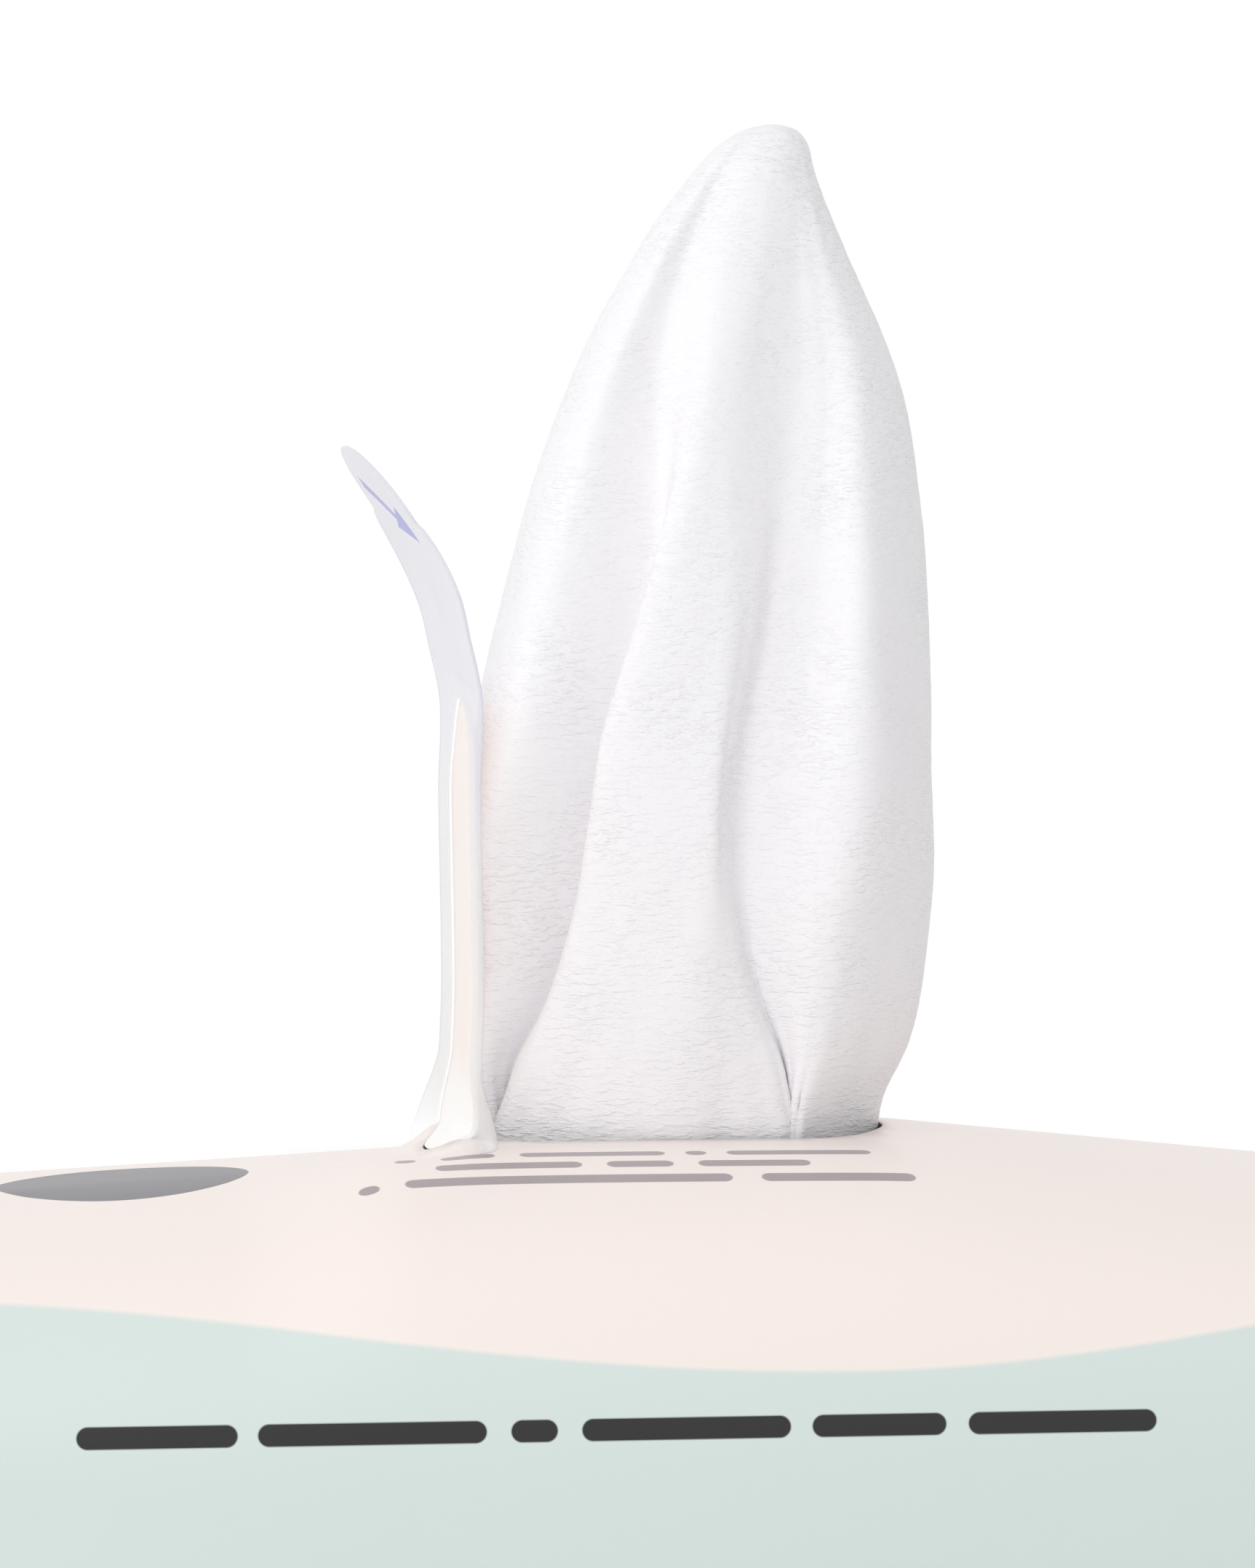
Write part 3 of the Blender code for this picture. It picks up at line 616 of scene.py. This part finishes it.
def add_fin(mesh, side):
    """A crimped fin with ribs across the pack, a zigzag edge and a slight wave."""
    columns = round(BODY_WIDTH / TOOTH_PITCH) * TOOTH_STEPS
    steps = RIB_COUNT * RIB_STEPS
    rings = []
    for column in range(columns + 1):
        y = (BODY_WIDTH / 2 - SIDE_BULGE) * (2 * column / columns - 1)
        reach = FIN_LENGTH - TOOTH_DEPTH * abs((y / TOOTH_PITCH) % 1 - 0.5) * 2
        upper, lower = [], []
        for step in range(steps + 1):
            share = step / steps
            out = -FIN_OVERLAP + (reach + FIN_OVERLAP) * share
            half = FIN_THICKNESS / 2 - RIB_DEPTH * (0.5 - 0.5 * cos(tau * RIB_COUNT * share))
            half *= 1 - FIN_THINNING * smooth_step(share / FIN_THIN_END)
            wave = FIN_WAVE_DEPTH * smooth_step(out / FIN_LENGTH)
            wave *= ripple(y * FIN_WAVES, 4.0 * side, 0.5)
            x = side * (BODY_LENGTH / 2 + out)
            upper.append((x, y, SEAL_LEVEL + half + wave))
            lower.append((x, y, SEAL_LEVEL - half + wave))
        rings.append(upper + lower[::-1])
    add_loft(mesh, rings)


def make_pouch(material):
    """The film pouch with its opening, its gathered ends and its two crimped fins."""
    rings = []
    for x, share in pouch_stations():
        rings.append(pouch_ring(x, share, 1) + pouch_ring(x, share, -1)[-2:0:-1])
    body = bmesh.new()
    add_loft(body, rings)
    body.normal_update()
    crease_film(body)
    cut_opening(body)
    fins = bmesh.new()
    for side in (1, -1):
        add_fin(fins, side)
    pouch = thicken(mesh_object("pouch", body, angle=50), FILM, offset=-1.0)
    for piece in (pouch, mesh_object("pouch_fins", fins, angle=50)):
        dress(piece, "film_pouch", material)


# The label and the film on it


def label_line():
    """The label's middle line, from its stuck end to beyond its tab, as x and height."""
    lift = GAP + LABEL_FILM / 2
    line = []
    for step in range(STUCK_STEPS + 1):
        x = STUCK_END_X + STUCK_LENGTH * step / STUCK_STEPS
        line.append((x, crest_height(x) + lift))
    for along, up in PEEL_LINE:
        line.append((FOLD_X + LABEL_LENGTH * along, BODY_HEIGHT + LABEL_LENGTH * up))
    return line


def along_label():
    """Even small steps along the middle line, as (distance, x, height)."""
    line = label_line()
    samples = [(0.0, *line[0])]
    for step in range(1, LINE_STEPS + 1):
        x, z = through_points(line, (len(line) - 1) * step / LINE_STEPS)
        distance = samples[-1][0] + hypot(x - samples[-1][1], z - samples[-1][2])
        samples.append((distance, x, z))
    return samples


def read_label_line(samples, distance):
    """Place and normal of the middle line at a distance from its stuck end."""
    index = max((i for i in range(len(samples) - 1) if samples[i][0] <= distance), default=0)
    (d0, x0, z0), (d1, x1, z1) = samples[index], samples[index + 1]
    part = (distance - d0) / (d1 - d0)
    tangent = Vector((x1 - x0, 0, z1 - z0)).normalized()
    return Vector((x0 + (x1 - x0) * part, 0, z0 + (z1 - z0) * part)), Vector((-tangent.z, 0, tangent.x))


def label_point(samples, distance, across, offset):
    """A point of the label's surface, raised by offset on its printed side."""
    skew = LABEL_SKEW * across
    place, normal = read_label_line(samples, distance + skew)
    height = max(place.z - crest_height(place.x), 0.0)
    x = place.x - skew * (1 - smooth_step(height / SKEW_RISE))
    y = across - LABEL_SKEW * height
    lying = 1 - smooth_step(4 * height / LABEL_WIDTH)
    z = place.z + lying * (top_height(x, y) - crest_height(place.x))
    return Vector((x, y, z)) + normal * offset


def label_half_width(distance):
    body = LABEL_LENGTH - TAB_LENGTH
    half = LABEL_WIDTH / 2
    tab = TAB_WIDTH / 2
    if distance < LABEL_CORNER:
        return half - LABEL_CORNER + sqrt(LABEL_CORNER**2 - (LABEL_CORNER - distance) ** 2)
    if distance < body - LABEL_CORNER:
        return half
    if distance < body:
        part = (distance - body + LABEL_CORNER) / LABEL_CORNER
        return tab + (half - tab) * sqrt(1 - part**2)
    part = (distance - body) / TAB_LENGTH
    return tab * max(1 - part**TAB_POWER, 0.0) ** (1 / TAB_POWER)


def panel_ends():
    middle = OPENING_X - STUCK_END_X
    half = OPENING_LENGTH / 2 - CUT_GAP
    return middle - half, middle + half


def panel_half_width(distance):
    radius = OPENING_RADIUS - CUT_GAP
    half = OPENING_WIDTH / 2 - CUT_GAP
    start, end = panel_ends()
    from_end = min(distance - start, end - distance)
    if from_end >= radius:
        return half
    return half - radius + sqrt(max(radius**2 - (radius - from_end) ** 2, 0.0))


def label_strip(start, end, half_width, offset):
    """A strip that follows the label's surface, with more rows in its round ends."""
    samples = along_label()
    distances = []
    for step in range(LABEL_ROWS + 1):
        share = step / LABEL_ROWS
        distances.append(start + (end - start) * (share - 0.5 * sin(tau * share) / tau))
    shares = [2 * column / LABEL_COLUMNS - 1 for column in range(LABEL_COLUMNS + 1)]
    rows, places = [], []
    for distance in distances:
        half = max(half_width(distance), TIP_WIDTH / 2)
        rows.append([label_point(samples, distance, half * share, offset) for share in shares])
        places.append([(distance, half * share) for share in shares])
    return sheet_mesh(rows, places)


def make_label(material):
    strip = label_strip(0.0, LABEL_LENGTH, label_half_width, 0.0)
    label = thicken(mesh_object("label", strip), LABEL_FILM)
    # Light passes through the clear film
    label.visible_shadow = False
    label.visible_diffuse = False
    dress(label, "reseal_label", material)


def make_panel(material):
    start, end = panel_ends()
    offset = -(LABEL_FILM / 2 + GAP + FILM / 2)
    strip = label_strip(start, end, panel_half_width, offset)
    panel = thicken(mesh_object("panel", strip), FILM)
    # A thin pale film, which lets light through to the wipe beside it
    panel.visible_shadow = False
    dress(panel, "cut_out_panel", material)


# The wipes


def stack_top(y):
    return SEAL_LEVEL + (STACK_HEIGHT - SEAL_LEVEL) * crown_share(2 * y / STACK_WIDTH)


def stack_side():
    """One side of the stack's end view, from floor to middle, as y, height and whether it is a fold."""
    half = STACK_WIDTH / 2
    side = []
    for step in range(STACK_FLOOR_STEPS):
        side.append((half * step / STACK_FLOOR_STEPS * STACK_FLAT, STACK_FLOOR, 0.0))
    for angle in quarter_turn(STACK_CORNER_STEPS):
        across = half - STACK_CORNER + STACK_CORNER * sin(angle)
        side.append((across, STACK_FLOOR + STACK_CORNER * (1 - cos(angle)), 0.0))
    height = STACK_FLOOR + STACK_CORNER
    while height < SEAL_LEVEL + STACK_CORNER:
        for step in range(1, STACK_FOLD_STEPS + 1):
            part = step / STACK_FOLD_STEPS
            level = height + FOLD_PITCH * part
            outer = half * crown_share(max(level - SEAL_LEVEL, 0.0) / (STACK_HEIGHT - SEAL_LEVEL))
            side.append((outer - FOLD_NOTCH * abs(cos(pi * part)) ** 3, level, 1.0))
        height += FOLD_PITCH
    last = side[-1][0] * STACK_SHOULDER
    for step in range(STACK_TOP_STEPS + 1):
        y = last * (1 - step / STACK_TOP_STEPS)
        side.append((y, stack_top(y), 0.0))
    return side


def stack_inset(x, y, z):
    """How far a fold at the stack's side stands in, with other waves in each layer and on each side."""
    layer = int((z - STACK_FLOOR) / FOLD_PITCH)
    inset = FOLD_SHIFT
    for depth, waves, layer_step, side_step in FOLD_RIPPLES:
        inset += depth * ripple(x * waves, layer * layer_step, copysign(side_step, y))
    return inset


def make_stack(material):
    """The folded wipes that still lie in the pouch, with their folds along both sides."""
    side = stack_side()
    outline = side + [(-y, z, fold) for y, z, fold in side[-2:0:-1]]
    rings = []
    for step in range(STACK_STEPS + 1):
        x = STACK_LENGTH * (step / STACK_STEPS - 0.5)
        ring = []
        for y, z, fold in outline:
            inset = fold * stack_inset(x, y, z)
            hollow = ripple(x * STACK_SAG_WAVES, y * STACK_SAG_WAVES, 6.0) - 0.5
            sag = STACK_SAG * hollow if z > SEAL_LEVEL else 0.0
            ring.append((x, y - copysign(inset, y), z + sag))
        rings.append(ring)
    mesh = bmesh.new()
    add_loft(mesh, rings)
    dress(mesh_object("stack_folds", mesh, angle=55), "wipe_stack", material)


def next_height(x, y):
    """Middle of the next wipe: it lies on the stack and is lifted under the opening."""
    distance = hypot((x - OPENING_X) / NEXT_RISE_LENGTH, y / NEXT_RISE_WIDTH)
    return stack_top(y) + GAP + CLOTH / 2 + NEXT_RISE * exp(-distance * distance)


def next_fold(x, y):
    """How far the next wipe's soft folds stand up, most of all under the opening."""
    distance = hypot((x - OPENING_X) / NEXT_FOLD_LENGTH, y / NEXT_FOLD_WIDTH)
    along, across = NEXT_FOLD_WAVES
    wave = ripple(x * along + y * NEXT_FOLD_SLANT, y * across, 2.0)
    return NEXT_FOLD_RISE * exp(-distance * distance) * (wave + NEXT_FOLD_LEVEL)


def make_next_wipe(material):
    """The wipe that lies under the opening, lifted in soft folds where the last one was pulled from it."""
    rows = []
    for i in range(NEXT_ROWS + 1):
        x = NEXT_LENGTH * (i / NEXT_ROWS - 0.5)
        across = [NEXT_WIDTH * (j / NEXT_COLUMNS - 0.5) for j in range(NEXT_COLUMNS + 1)]
        rows.append([(x, y, next_height(x, y) + next_fold(x, y)) for y in across])
    wipe = thicken(mesh_object("wipe_next", sheet_mesh(rows)), CLOTH)
    dress(wipe, "next_wipe", material)


def fold_places(height):
    """Where each fold of the pulled wipe is, as x and y, at one share of the wipe's height."""
    from_tip = WIPE_OUTLINE[::-1]
    depths = [depth_under_tip(row[0]) for row in from_tip]
    at = depth_under_tip(height)
    left, right, deep = (read_curve(depths, [row[i] for row in from_tip], at) for i in (1, 2, 3))
    middle = OPENING_X + OPENING_LENGTH * (left + right) / 4
    half = OPENING_LENGTH * (right - left) / 4
    depth = OPENING_WIDTH / 2 * deep
    places = []
    for line in WIPE_FOLDS.values():
        levels, *sides = ([row[i] / 100 for row in line] for i in range(3))
        across, fold_depth = (read_curve(levels, side, height) for side in sides)
        places.append((middle + half * across, depth * fold_depth))
    return places


def wipe_row(height):
    places = fold_places(height)
    steps = (len(places) - 1) * FOLD_STEPS
    line = [through_points(places, step / FOLD_STEPS) for step in range(steps + 1)]
    return [Vector((x, y, BODY_HEIGHT + WIPE_HEIGHT * height)) for x, y in line]


def wipe_crumple(share, x, y, z, height):
    """How far the wet cloth stands in or out: soft folds, buckles, and pinched creases at its foot."""
    around, up = LONG_FOLD_WAVES
    below_tip = smooth_step((1 - height) / SMOOTH_TIP)
    crumple = below_tip * LONG_FOLD_DEPTH * ripple(share * around, height * up, 1.0)
    for depth, across, up in BUCKLES:
        crumple += depth * ripple(x * across, y * across, z * up)
    around, up = PINCH_WAVES
    at_foot = exp(-max(height, 0.0) / PINCH_REACH)
    return crumple + PINCH_DEPTH * at_foot * ripple(share * around, height * up, 8.0)


def make_pulled_wipe(material):
    """The wipe that stands up through the opening: gathered folds that run together at its closed tip."""
    foot = (next_height(OPENING_X, 0.0) + CLOTH / 2 + GAP - BODY_HEIGHT) / WIPE_HEIGHT
    deepest = depth_under_tip(foot)
    heights = [1 - (deepest * (1 - step / WIPE_ROWS)) ** 2 for step in range(WIPE_ROWS + 1)]
    smooth = [wipe_row(height) for height in heights]
    rows = []
    for r, (height, row) in enumerate(zip(heights, smooth)):
        above, below = smooth[min(r + 1, len(smooth) - 1)], smooth[max(r - 1, 0)]
        moved = []
        for i, point in enumerate(row):
            along = row[min(i + 1, len(row) - 1)] - row[max(i - 1, 0)]
            normal = along.cross(above[i] - below[i])
            normal = normal.normalized() if normal.length > 1e-12 else Vector((0, 0, 1))
            share = i / (len(row) - 1)
            moved.append(point + normal * wipe_crumple(share, *point, height))
        rows.append(moved)
    wipe = thicken(mesh_object("wipe_pulled", sheet_mesh(rows), angle=75), CLOTH)
    dress(wipe, "pulled_wipe", material)


# Materials


class Nodes:
    """The node tree of a new material or world, with short calls for the nodes that are used here."""

    def __init__(self, owner):
        owner.use_nodes = True
        self.owner = owner
        self.tree = owner.node_tree

    def put(self, socket, value):
        if isinstance(value, bpy.types.NodeSocket):
            self.tree.links.new(value, socket)
        elif value is not None:
            socket.default_value = value

    def fill(self, node, values):
        """Puts values into the inputs of those names, where an underscore stands for a blank."""
        for name, value in values.items():
            self.put(node.inputs[name.replace("_", " ")], value)
        return node

    def add(self, kind, **values):
        return self.fill(self.tree.nodes.new("ShaderNode" + kind), values)

    def math(self, operation, first, second=None, third=None):
        node = self.add("Math")
        node.operation = operation
        for socket, value in zip(node.inputs, (first, second, third)):
            self.put(socket, value)
        return node.outputs[0]

    def over_all(self, operation, values):
        """One operation run over all the values, such as MINIMUM for the smallest of them."""
        result, *others = values
        for value in others:
            result = self.math(operation, result, value)
        return result

    def length(self, x, y):
        squares = self.math("ADD", self.math("MULTIPLY", x, x), self.math("MULTIPLY", y, y))
        return self.math("SQRT", squares)

    def less(self, first, second, softness):
        """One where the first value is less than the second and zero where it is more, with a soft edge."""
        node = self.add("MapRange", Value=self.math("SUBTRACT", first, second), From_Min=-softness,
                        From_Max=softness, To_Min=1.0, To_Max=0.0)
        return node.outputs[0]

    def place(self):
        """The surface's place in the part's frame, whole and as X, Y and Z."""
        place = self.add("TexCoord").outputs["Object"]
        return place, self.add("SeparateXYZ", Vector=place).outputs

    def label_place(self):
        """The distances along and across the label, from its UV map."""
        texture = self.add("UVMap")
        texture.uv_map = "Place"
        along, across, _ = self.add("SeparateXYZ", Vector=texture.outputs[0]).outputs
        return along, across

    def stretched(self, vector, scale):
        return self.add("Mapping", Vector=vector, Scale=scale).outputs[0]

    def noise(self, vector, scale, detail=2.0, roughness=0.5):
        node = self.add("TexNoise", Vector=vector, Scale=scale, Detail=detail, Roughness=roughness)
        return node.outputs["Fac"]

    def mix(self, factor, first, second):
        node = self.add("Mix", Factor=factor)
        node.data_type = "RGBA"
        colours = [socket for socket in node.inputs if socket.type == "RGBA"]
        self.put(colours[0], first)
        self.put(colours[1], second)
        return [socket for socket in node.outputs if socket.type == "RGBA"][0]

    def bump(self, height, distance, strength, normal=None):
        node = self.add("Bump", Strength=strength, Distance=distance, Height=height, Normal=normal)
        return node.outputs[0]

    def sees_background(self):
        """One for the rays that see a white background, from the camera, mirrored or passed on."""
        path = self.add("LightPath").outputs
        rays = ("Is Camera Ray", "Is Glossy Ray", "Is Transmission Ray")
        return self.over_all("MAXIMUM", [path[ray] for ray in rays])

    def show(self, factor, first, second, output):
        """Shows the first shader where the factor is zero and the second where it is one."""
        blend = self.add("MixShader")
        for socket, source in zip(blend.inputs, (factor, first.outputs[0], second.outputs[0])):
            self.put(socket, source)
        self.put(self.tree.nodes[output].inputs[0], blend.outputs[0])

    def finish(self, **values):
        """Sets the material's shader and gives the material."""
        self.fill(self.tree.nodes["Principled BSDF"], values)
        return self.owner


def material_nodes(name):
    return Nodes(bpy.data.materials.new(name))


def wave_height(nodes, x):
    """Height of the mint field's wavy edge."""
    from_wave = nodes.math("SUBTRACT", x, WAVE_X)
    run_left = nodes.math("DIVIDE", from_wave, -WAVE_LEFT)
    run_right = nodes.math("DIVIDE", from_wave, WAVE_RIGHT)
    run = nodes.math("MINIMUM", nodes.math("MAXIMUM", run_left, run_right), 1.0)
    swing = nodes.math("COSINE", nodes.math("MULTIPLY", run, pi))
    return nodes.math("MULTIPLY_ADD", swing, -(WAVE_HIGH - WAVE_LOW) / 2, (WAVE_HIGH + WAVE_LOW) / 2)


def on_badge(nodes, x, y):
    """One on the round badge."""
    badge_x, badge_y, radius = BADGE
    distance = nodes.length(nodes.math("SUBTRACT", x, badge_x), nodes.math("SUBTRACT", y, badge_y))
    return nodes.less(distance, radius, PRINT_EDGE)


def on_bars(nodes, along, lines, width):
    """One on bars with round ends. Each line has the distance across it and its bars' ends."""
    distances = []
    for across, bars in lines:
        for start, end in bars:
            from_middle = nodes.math("ABSOLUTE", nodes.math("SUBTRACT", along, (start + end) / 2))
            straight = (end - start) / 2 - width / 2
            past = nodes.math("MAXIMUM", nodes.math("SUBTRACT", from_middle, straight), 0.0)
            distances.append(nodes.length(past, across))
    return nodes.less(nodes.over_all("MINIMUM", distances), width / 2, PRINT_EDGE)


def printed_film():
    """Satin film: cream on top, mint below a wave, with a plain round badge and plain bars."""
    nodes = material_nodes("Printed film")
    place, (x, y, z) = nodes.place()
    cloudy = nodes.noise(place, scale=9.0)
    cream = nodes.mix(cloudy, linear(248, 237, 232), linear(246, 235, 229))
    mint = nodes.mix(cloudy, linear(217, 229, 225), linear(213, 225, 221))
    colour = nodes.mix(nodes.less(z, wave_height(nodes, x), WAVE_EDGE), cream, mint)

    on_top = nodes.math("GREATER_THAN", z, SEAL_LEVEL)
    in_front = nodes.math("LESS_THAN", y, 0.0)
    side_line = (nodes.math("SUBTRACT", z, SIDE_BAR_LEVEL), SIDE_BARS)
    top_lines = [(nodes.math("SUBTRACT", y, line), bars) for line, bars in TOP_BARS.items()]
    prints = (
        (on_badge(nodes, x, y), on_top, linear(104, 101, 109)),
        (on_bars(nodes, x, [side_line], SIDE_BAR_HEIGHT), in_front, linear(24, 22, 26)),
        (on_bars(nodes, x, top_lines, TOP_BAR_WIDTH), on_top, linear(164, 154, 156)),
    )
    for form, side, ink in prints:
        colour = nodes.mix(nodes.math("MULTIPLY", form, side), colour, ink)

    slack = nodes.noise(nodes.stretched(place, (0.6, 1.0, 1.0)), scale=45.0)
    grain = nodes.noise(place, scale=1400.0)
    normal = nodes.bump(slack, distance=0.0006, strength=0.35)
    normal = nodes.bump(grain, distance=0.00003, strength=0.25, normal=normal)
    roughness = nodes.math("MULTIPLY_ADD", cloudy, 0.12, 0.34)
    return nodes.finish(Base_Color=colour, Roughness=roughness, Normal=normal, Coat_Weight=0.15,
                        Coat_Roughness=0.25)


def cream_film():
    """The cut out film, cream and a little clear, with a painted highlight near white at its bent foot."""
    nodes = material_nodes("Cut out film")
    place, (_, _, z) = nodes.place()
    cloudy = nodes.noise(place, scale=60.0)
    colour = nodes.mix(cloudy, linear(254, 243, 237), linear(252, 240, 233))
    # Painted highlight: the film's bent foot is mixed towards near white, where it catches the light
    bend_highlight = nodes.less(z, BODY_HEIGHT + BEND_HIGHLIGHT_RISE, BEND_HIGHLIGHT_RISE / 2)
    colour = nodes.mix(bend_highlight, colour, linear(255, 254, 252))
    normal = nodes.bump(nodes.noise(place, scale=140.0), distance=0.0002, strength=0.12)
    return nodes.finish(Base_Color=colour, Roughness=0.4, Normal=normal, Subsurface_Weight=0.2,
                        Subsurface_Radius=(1.0, 0.85, 0.75), Subsurface_Scale=0.0006)


def on_panel(nodes, along, across):
    """One where the panel lies on the label: within a rectangle with round corners."""
    start, end = panel_ends()
    radius = OPENING_RADIUS - CUT_GAP
    from_middle = nodes.math("ABSOLUTE", nodes.math("SUBTRACT", along, (start + end) / 2))
    over_x = nodes.math("SUBTRACT", from_middle, (end - start) / 2 - radius)
    over_y = nodes.math("SUBTRACT", nodes.math("ABSOLUTE", across), OPENING_WIDTH / 2 - CUT_GAP - radius)
    corner = nodes.length(nodes.math("MAXIMUM", over_x, 0.0), nodes.math("MAXIMUM", over_y, 0.0))
    inner = nodes.math("MINIMUM", nodes.math("MAXIMUM", over_x, over_y), 0.0)
    return nodes.less(nodes.math("ADD", corner, inner), radius, PANEL_EDGE)


def on_arrow(nodes, along, across):
    """One on the arrow's triangles. A place is outside a triangle if it is beyond one of the sides."""
    triangles = []
    for corners in ARROW:
        sides = []
        for (px, py), (qx, qy) in zip(corners, corners[1:] + corners[:1]):
            side_x, side_y = qy - py, px - qx
            size = hypot(side_x, side_y)
            height = nodes.math("MULTIPLY_ADD", along, side_x / size, -(px * side_x + py * side_y) / size)
            sides.append(nodes.math("MULTIPLY_ADD", across, side_y / size, height))
        triangles.append(nodes.over_all("MAXIMUM", sides))
    return nodes.less(nodes.over_all("MINIMUM", triangles), 0.0, ARROW_EDGE)


def clear_film():
    """Clear label film, hazy where its adhesive is bare, with a plain arrow printed on its tab."""
    nodes = material_nodes("Clear label film")
    place, _ = nodes.place()
    along, across = nodes.label_place()
    start, end = panel_ends()
    stuck = nodes.less(along, HAZE_START, HAZE_RUN)
    clear = nodes.math("MAXIMUM", on_panel(nodes, along, across), stuck)
    haze = nodes.math("MULTIPLY_ADD", clear, LABEL_CLEAR - LABEL_HAZE, LABEL_HAZE)
    printed = on_arrow(nodes, along, across)
    milky = nodes.less(end + MILKY_START, along, MILKY_START)
    alpha = nodes.over_all("MAXIMUM", (haze, printed, milky))

    cloudy = nodes.noise(place, scale=50.0)
    tab = nodes.less((start + end) / 2 + TAB_TINT_START, along, TAB_TINT_RUN)
    colour = nodes.mix(tab, linear(231, 230, 229), linear(224, 224, 234))
    colour = nodes.mix(nodes.math("MULTIPLY", cloudy, 0.15), colour, linear(219, 218, 229))
    colour = nodes.mix(printed, colour, linear(118, 120, 208))
    roughness = nodes.math("MULTIPLY_ADD", cloudy, 0.10, 0.20)
    return nodes.finish(Base_Color=colour, Roughness=roughness, Alpha=alpha)


def wipe_cloth():
    """Moist nonwoven cloth: short crosswise creases in patches, small pits painted as darker specks of
    shade, and a fibrous grain.
    """
    nodes = material_nodes("Wipe cloth")
    place, _ = nodes.place()
    dashes = nodes.noise(nodes.stretched(place, (0.55, 0.55, 2.0)), scale=850.0, roughness=0.6)
    dashes = nodes.less(0.56, dashes, 0.09)
    patches = nodes.less(0.52, nodes.noise(place, scale=70.0), 0.14)
    dashes = nodes.math("MULTIPLY", dashes, nodes.math("MULTIPLY_ADD", patches, 0.70, 0.30))
    # Painted shade: the small pits are only darker dots in the colour, for the shade that falls in them
    pit_shade = nodes.noise(nodes.stretched(place, (0.8, 0.8, 1.2)), scale=2300.0, detail=1.0)
    pit_shade = nodes.less(0.69, pit_shade, 0.05)
    fibres = nodes.noise(place, scale=3200.0, detail=4.0, roughness=0.7)
    pulled = nodes.noise(nodes.stretched(place, (1.0, 1.0, 0.25)), scale=90.0, detail=3.0)
    colour = nodes.mix(pulled, linear(245, 243, 246), linear(248, 247, 249))
    colour = nodes.mix(nodes.math("MULTIPLY", pit_shade, 0.15), colour, linear(205, 200, 208))
    normal = nodes.bump(pulled, distance=0.0008, strength=0.18)
    normal = nodes.bump(dashes, distance=0.00024, strength=0.55, normal=normal)
    normal = nodes.bump(fibres, distance=0.00012, strength=0.50, normal=normal)
    roughness = nodes.math("MULTIPLY_ADD", fibres, 0.4, 0.38)
    return nodes.finish(Base_Color=colour, Roughness=roughness, Normal=normal)


# Stage, light and camera


def make_floor():
    """A pale floor that keeps the shadow near the pack and turns into the white background further off."""
    bpy.ops.mesh.primitive_circle_add(vertices=96, radius=FLOOR_RADIUS, fill_type="NGON")
    floor = bpy.context.object
    floor.name = "floor"
    nodes = material_nodes("Pale floor")
    _, (x, y, _) = nodes.place()
    far = nodes.less(FLOOR_FADE, nodes.length(x, y), FLOOR_FADE / 2)
    is_white = nodes.math("MULTIPLY", nodes.sees_background(), far)
    pale = nodes.tree.nodes["Principled BSDF"]
    nodes.show(is_white, pale, nodes.add("Emission"), "Material Output")
    floor.data.materials.append(nodes.finish(Base_Color=PALE_GREY, Roughness=0.9, Specular_IOR_Level=0.1))


def make_world():
    """Even white light that is a little stronger on the left and above, in front of a white background."""
    world = bpy.data.worlds.new("Studio")
    scene.world = world
    nodes = Nodes(world)
    slope = nodes.add("VectorMath")
    slope.operation = "DOT_PRODUCT"
    nodes.put(slope.inputs[0], nodes.add("TexCoord").outputs["Generated"])
    nodes.put(slope.inputs[1], WORLD_SLOPE)
    strength = nodes.math("ADD", slope.outputs["Value"], WORLD_LEVEL)
    light = nodes.add("Background", Color=WHITE, Strength=strength)
    white = nodes.add("Background", Color=WHITE, Strength=1.0)
    nodes.show(nodes.sees_background(), light, white, "World Output")


def add_lamp(name, place, size, power):
    data = bpy.data.lights.new(name, "AREA")
    data.shape = "DISK"
    data.size = size
    data.energy = power
    lamp = bpy.data.objects.new(name, data)
    lamp.location = place
    lamp.rotation_euler = (LAMP_AIM - Vector(place)).to_track_quat("-Z", "Y").to_euler()
    scene.collection.objects.link(lamp)


def make_camera():
    data = bpy.data.cameras.new("camera")
    camera = bpy.data.objects.new("camera", data)
    scene.collection.objects.link(camera)
    flat = cos(CAMERA_ELEVATION)
    left, near = sin(CAMERA_AZIMUTH), cos(CAMERA_AZIMUTH)
    away = Vector((-left * flat, -near * flat, sin(CAMERA_ELEVATION)))
    camera.location = CAMERA_TARGET + away * CAMERA_DISTANCE
    width, height = FRAME_SIZE
    yaw = CAMERA_AZIMUTH - atan((TARGET_PIXEL[0] - width / 2) / FOCAL_PIXELS)
    pitch = atan((TARGET_PIXEL[1] - height / 2) / FOCAL_PIXELS) - CAMERA_ELEVATION
    camera.rotation_euler = (pi / 2 + pitch, CAMERA_ROLL, -yaw)
    data.lens = FOCAL_PIXELS / height * SENSOR_LONG_SIDE
    data.sensor_width = SENSOR_LONG_SIDE
    data.clip_start, data.clip_end = 0.05, 20.0
    scene.camera = camera


film = printed_film()
cloth = wipe_cloth()
make_pouch(film)
make_label(clear_film())
make_panel(cream_film())
make_stack(cloth)
make_next_wipe(cloth)
make_pulled_wipe(cloth)
make_floor()
make_world()
for name, values in LAMPS.items():
    add_lamp(name, *values)
make_camera()
scene.view_settings.view_transform = "Standard"
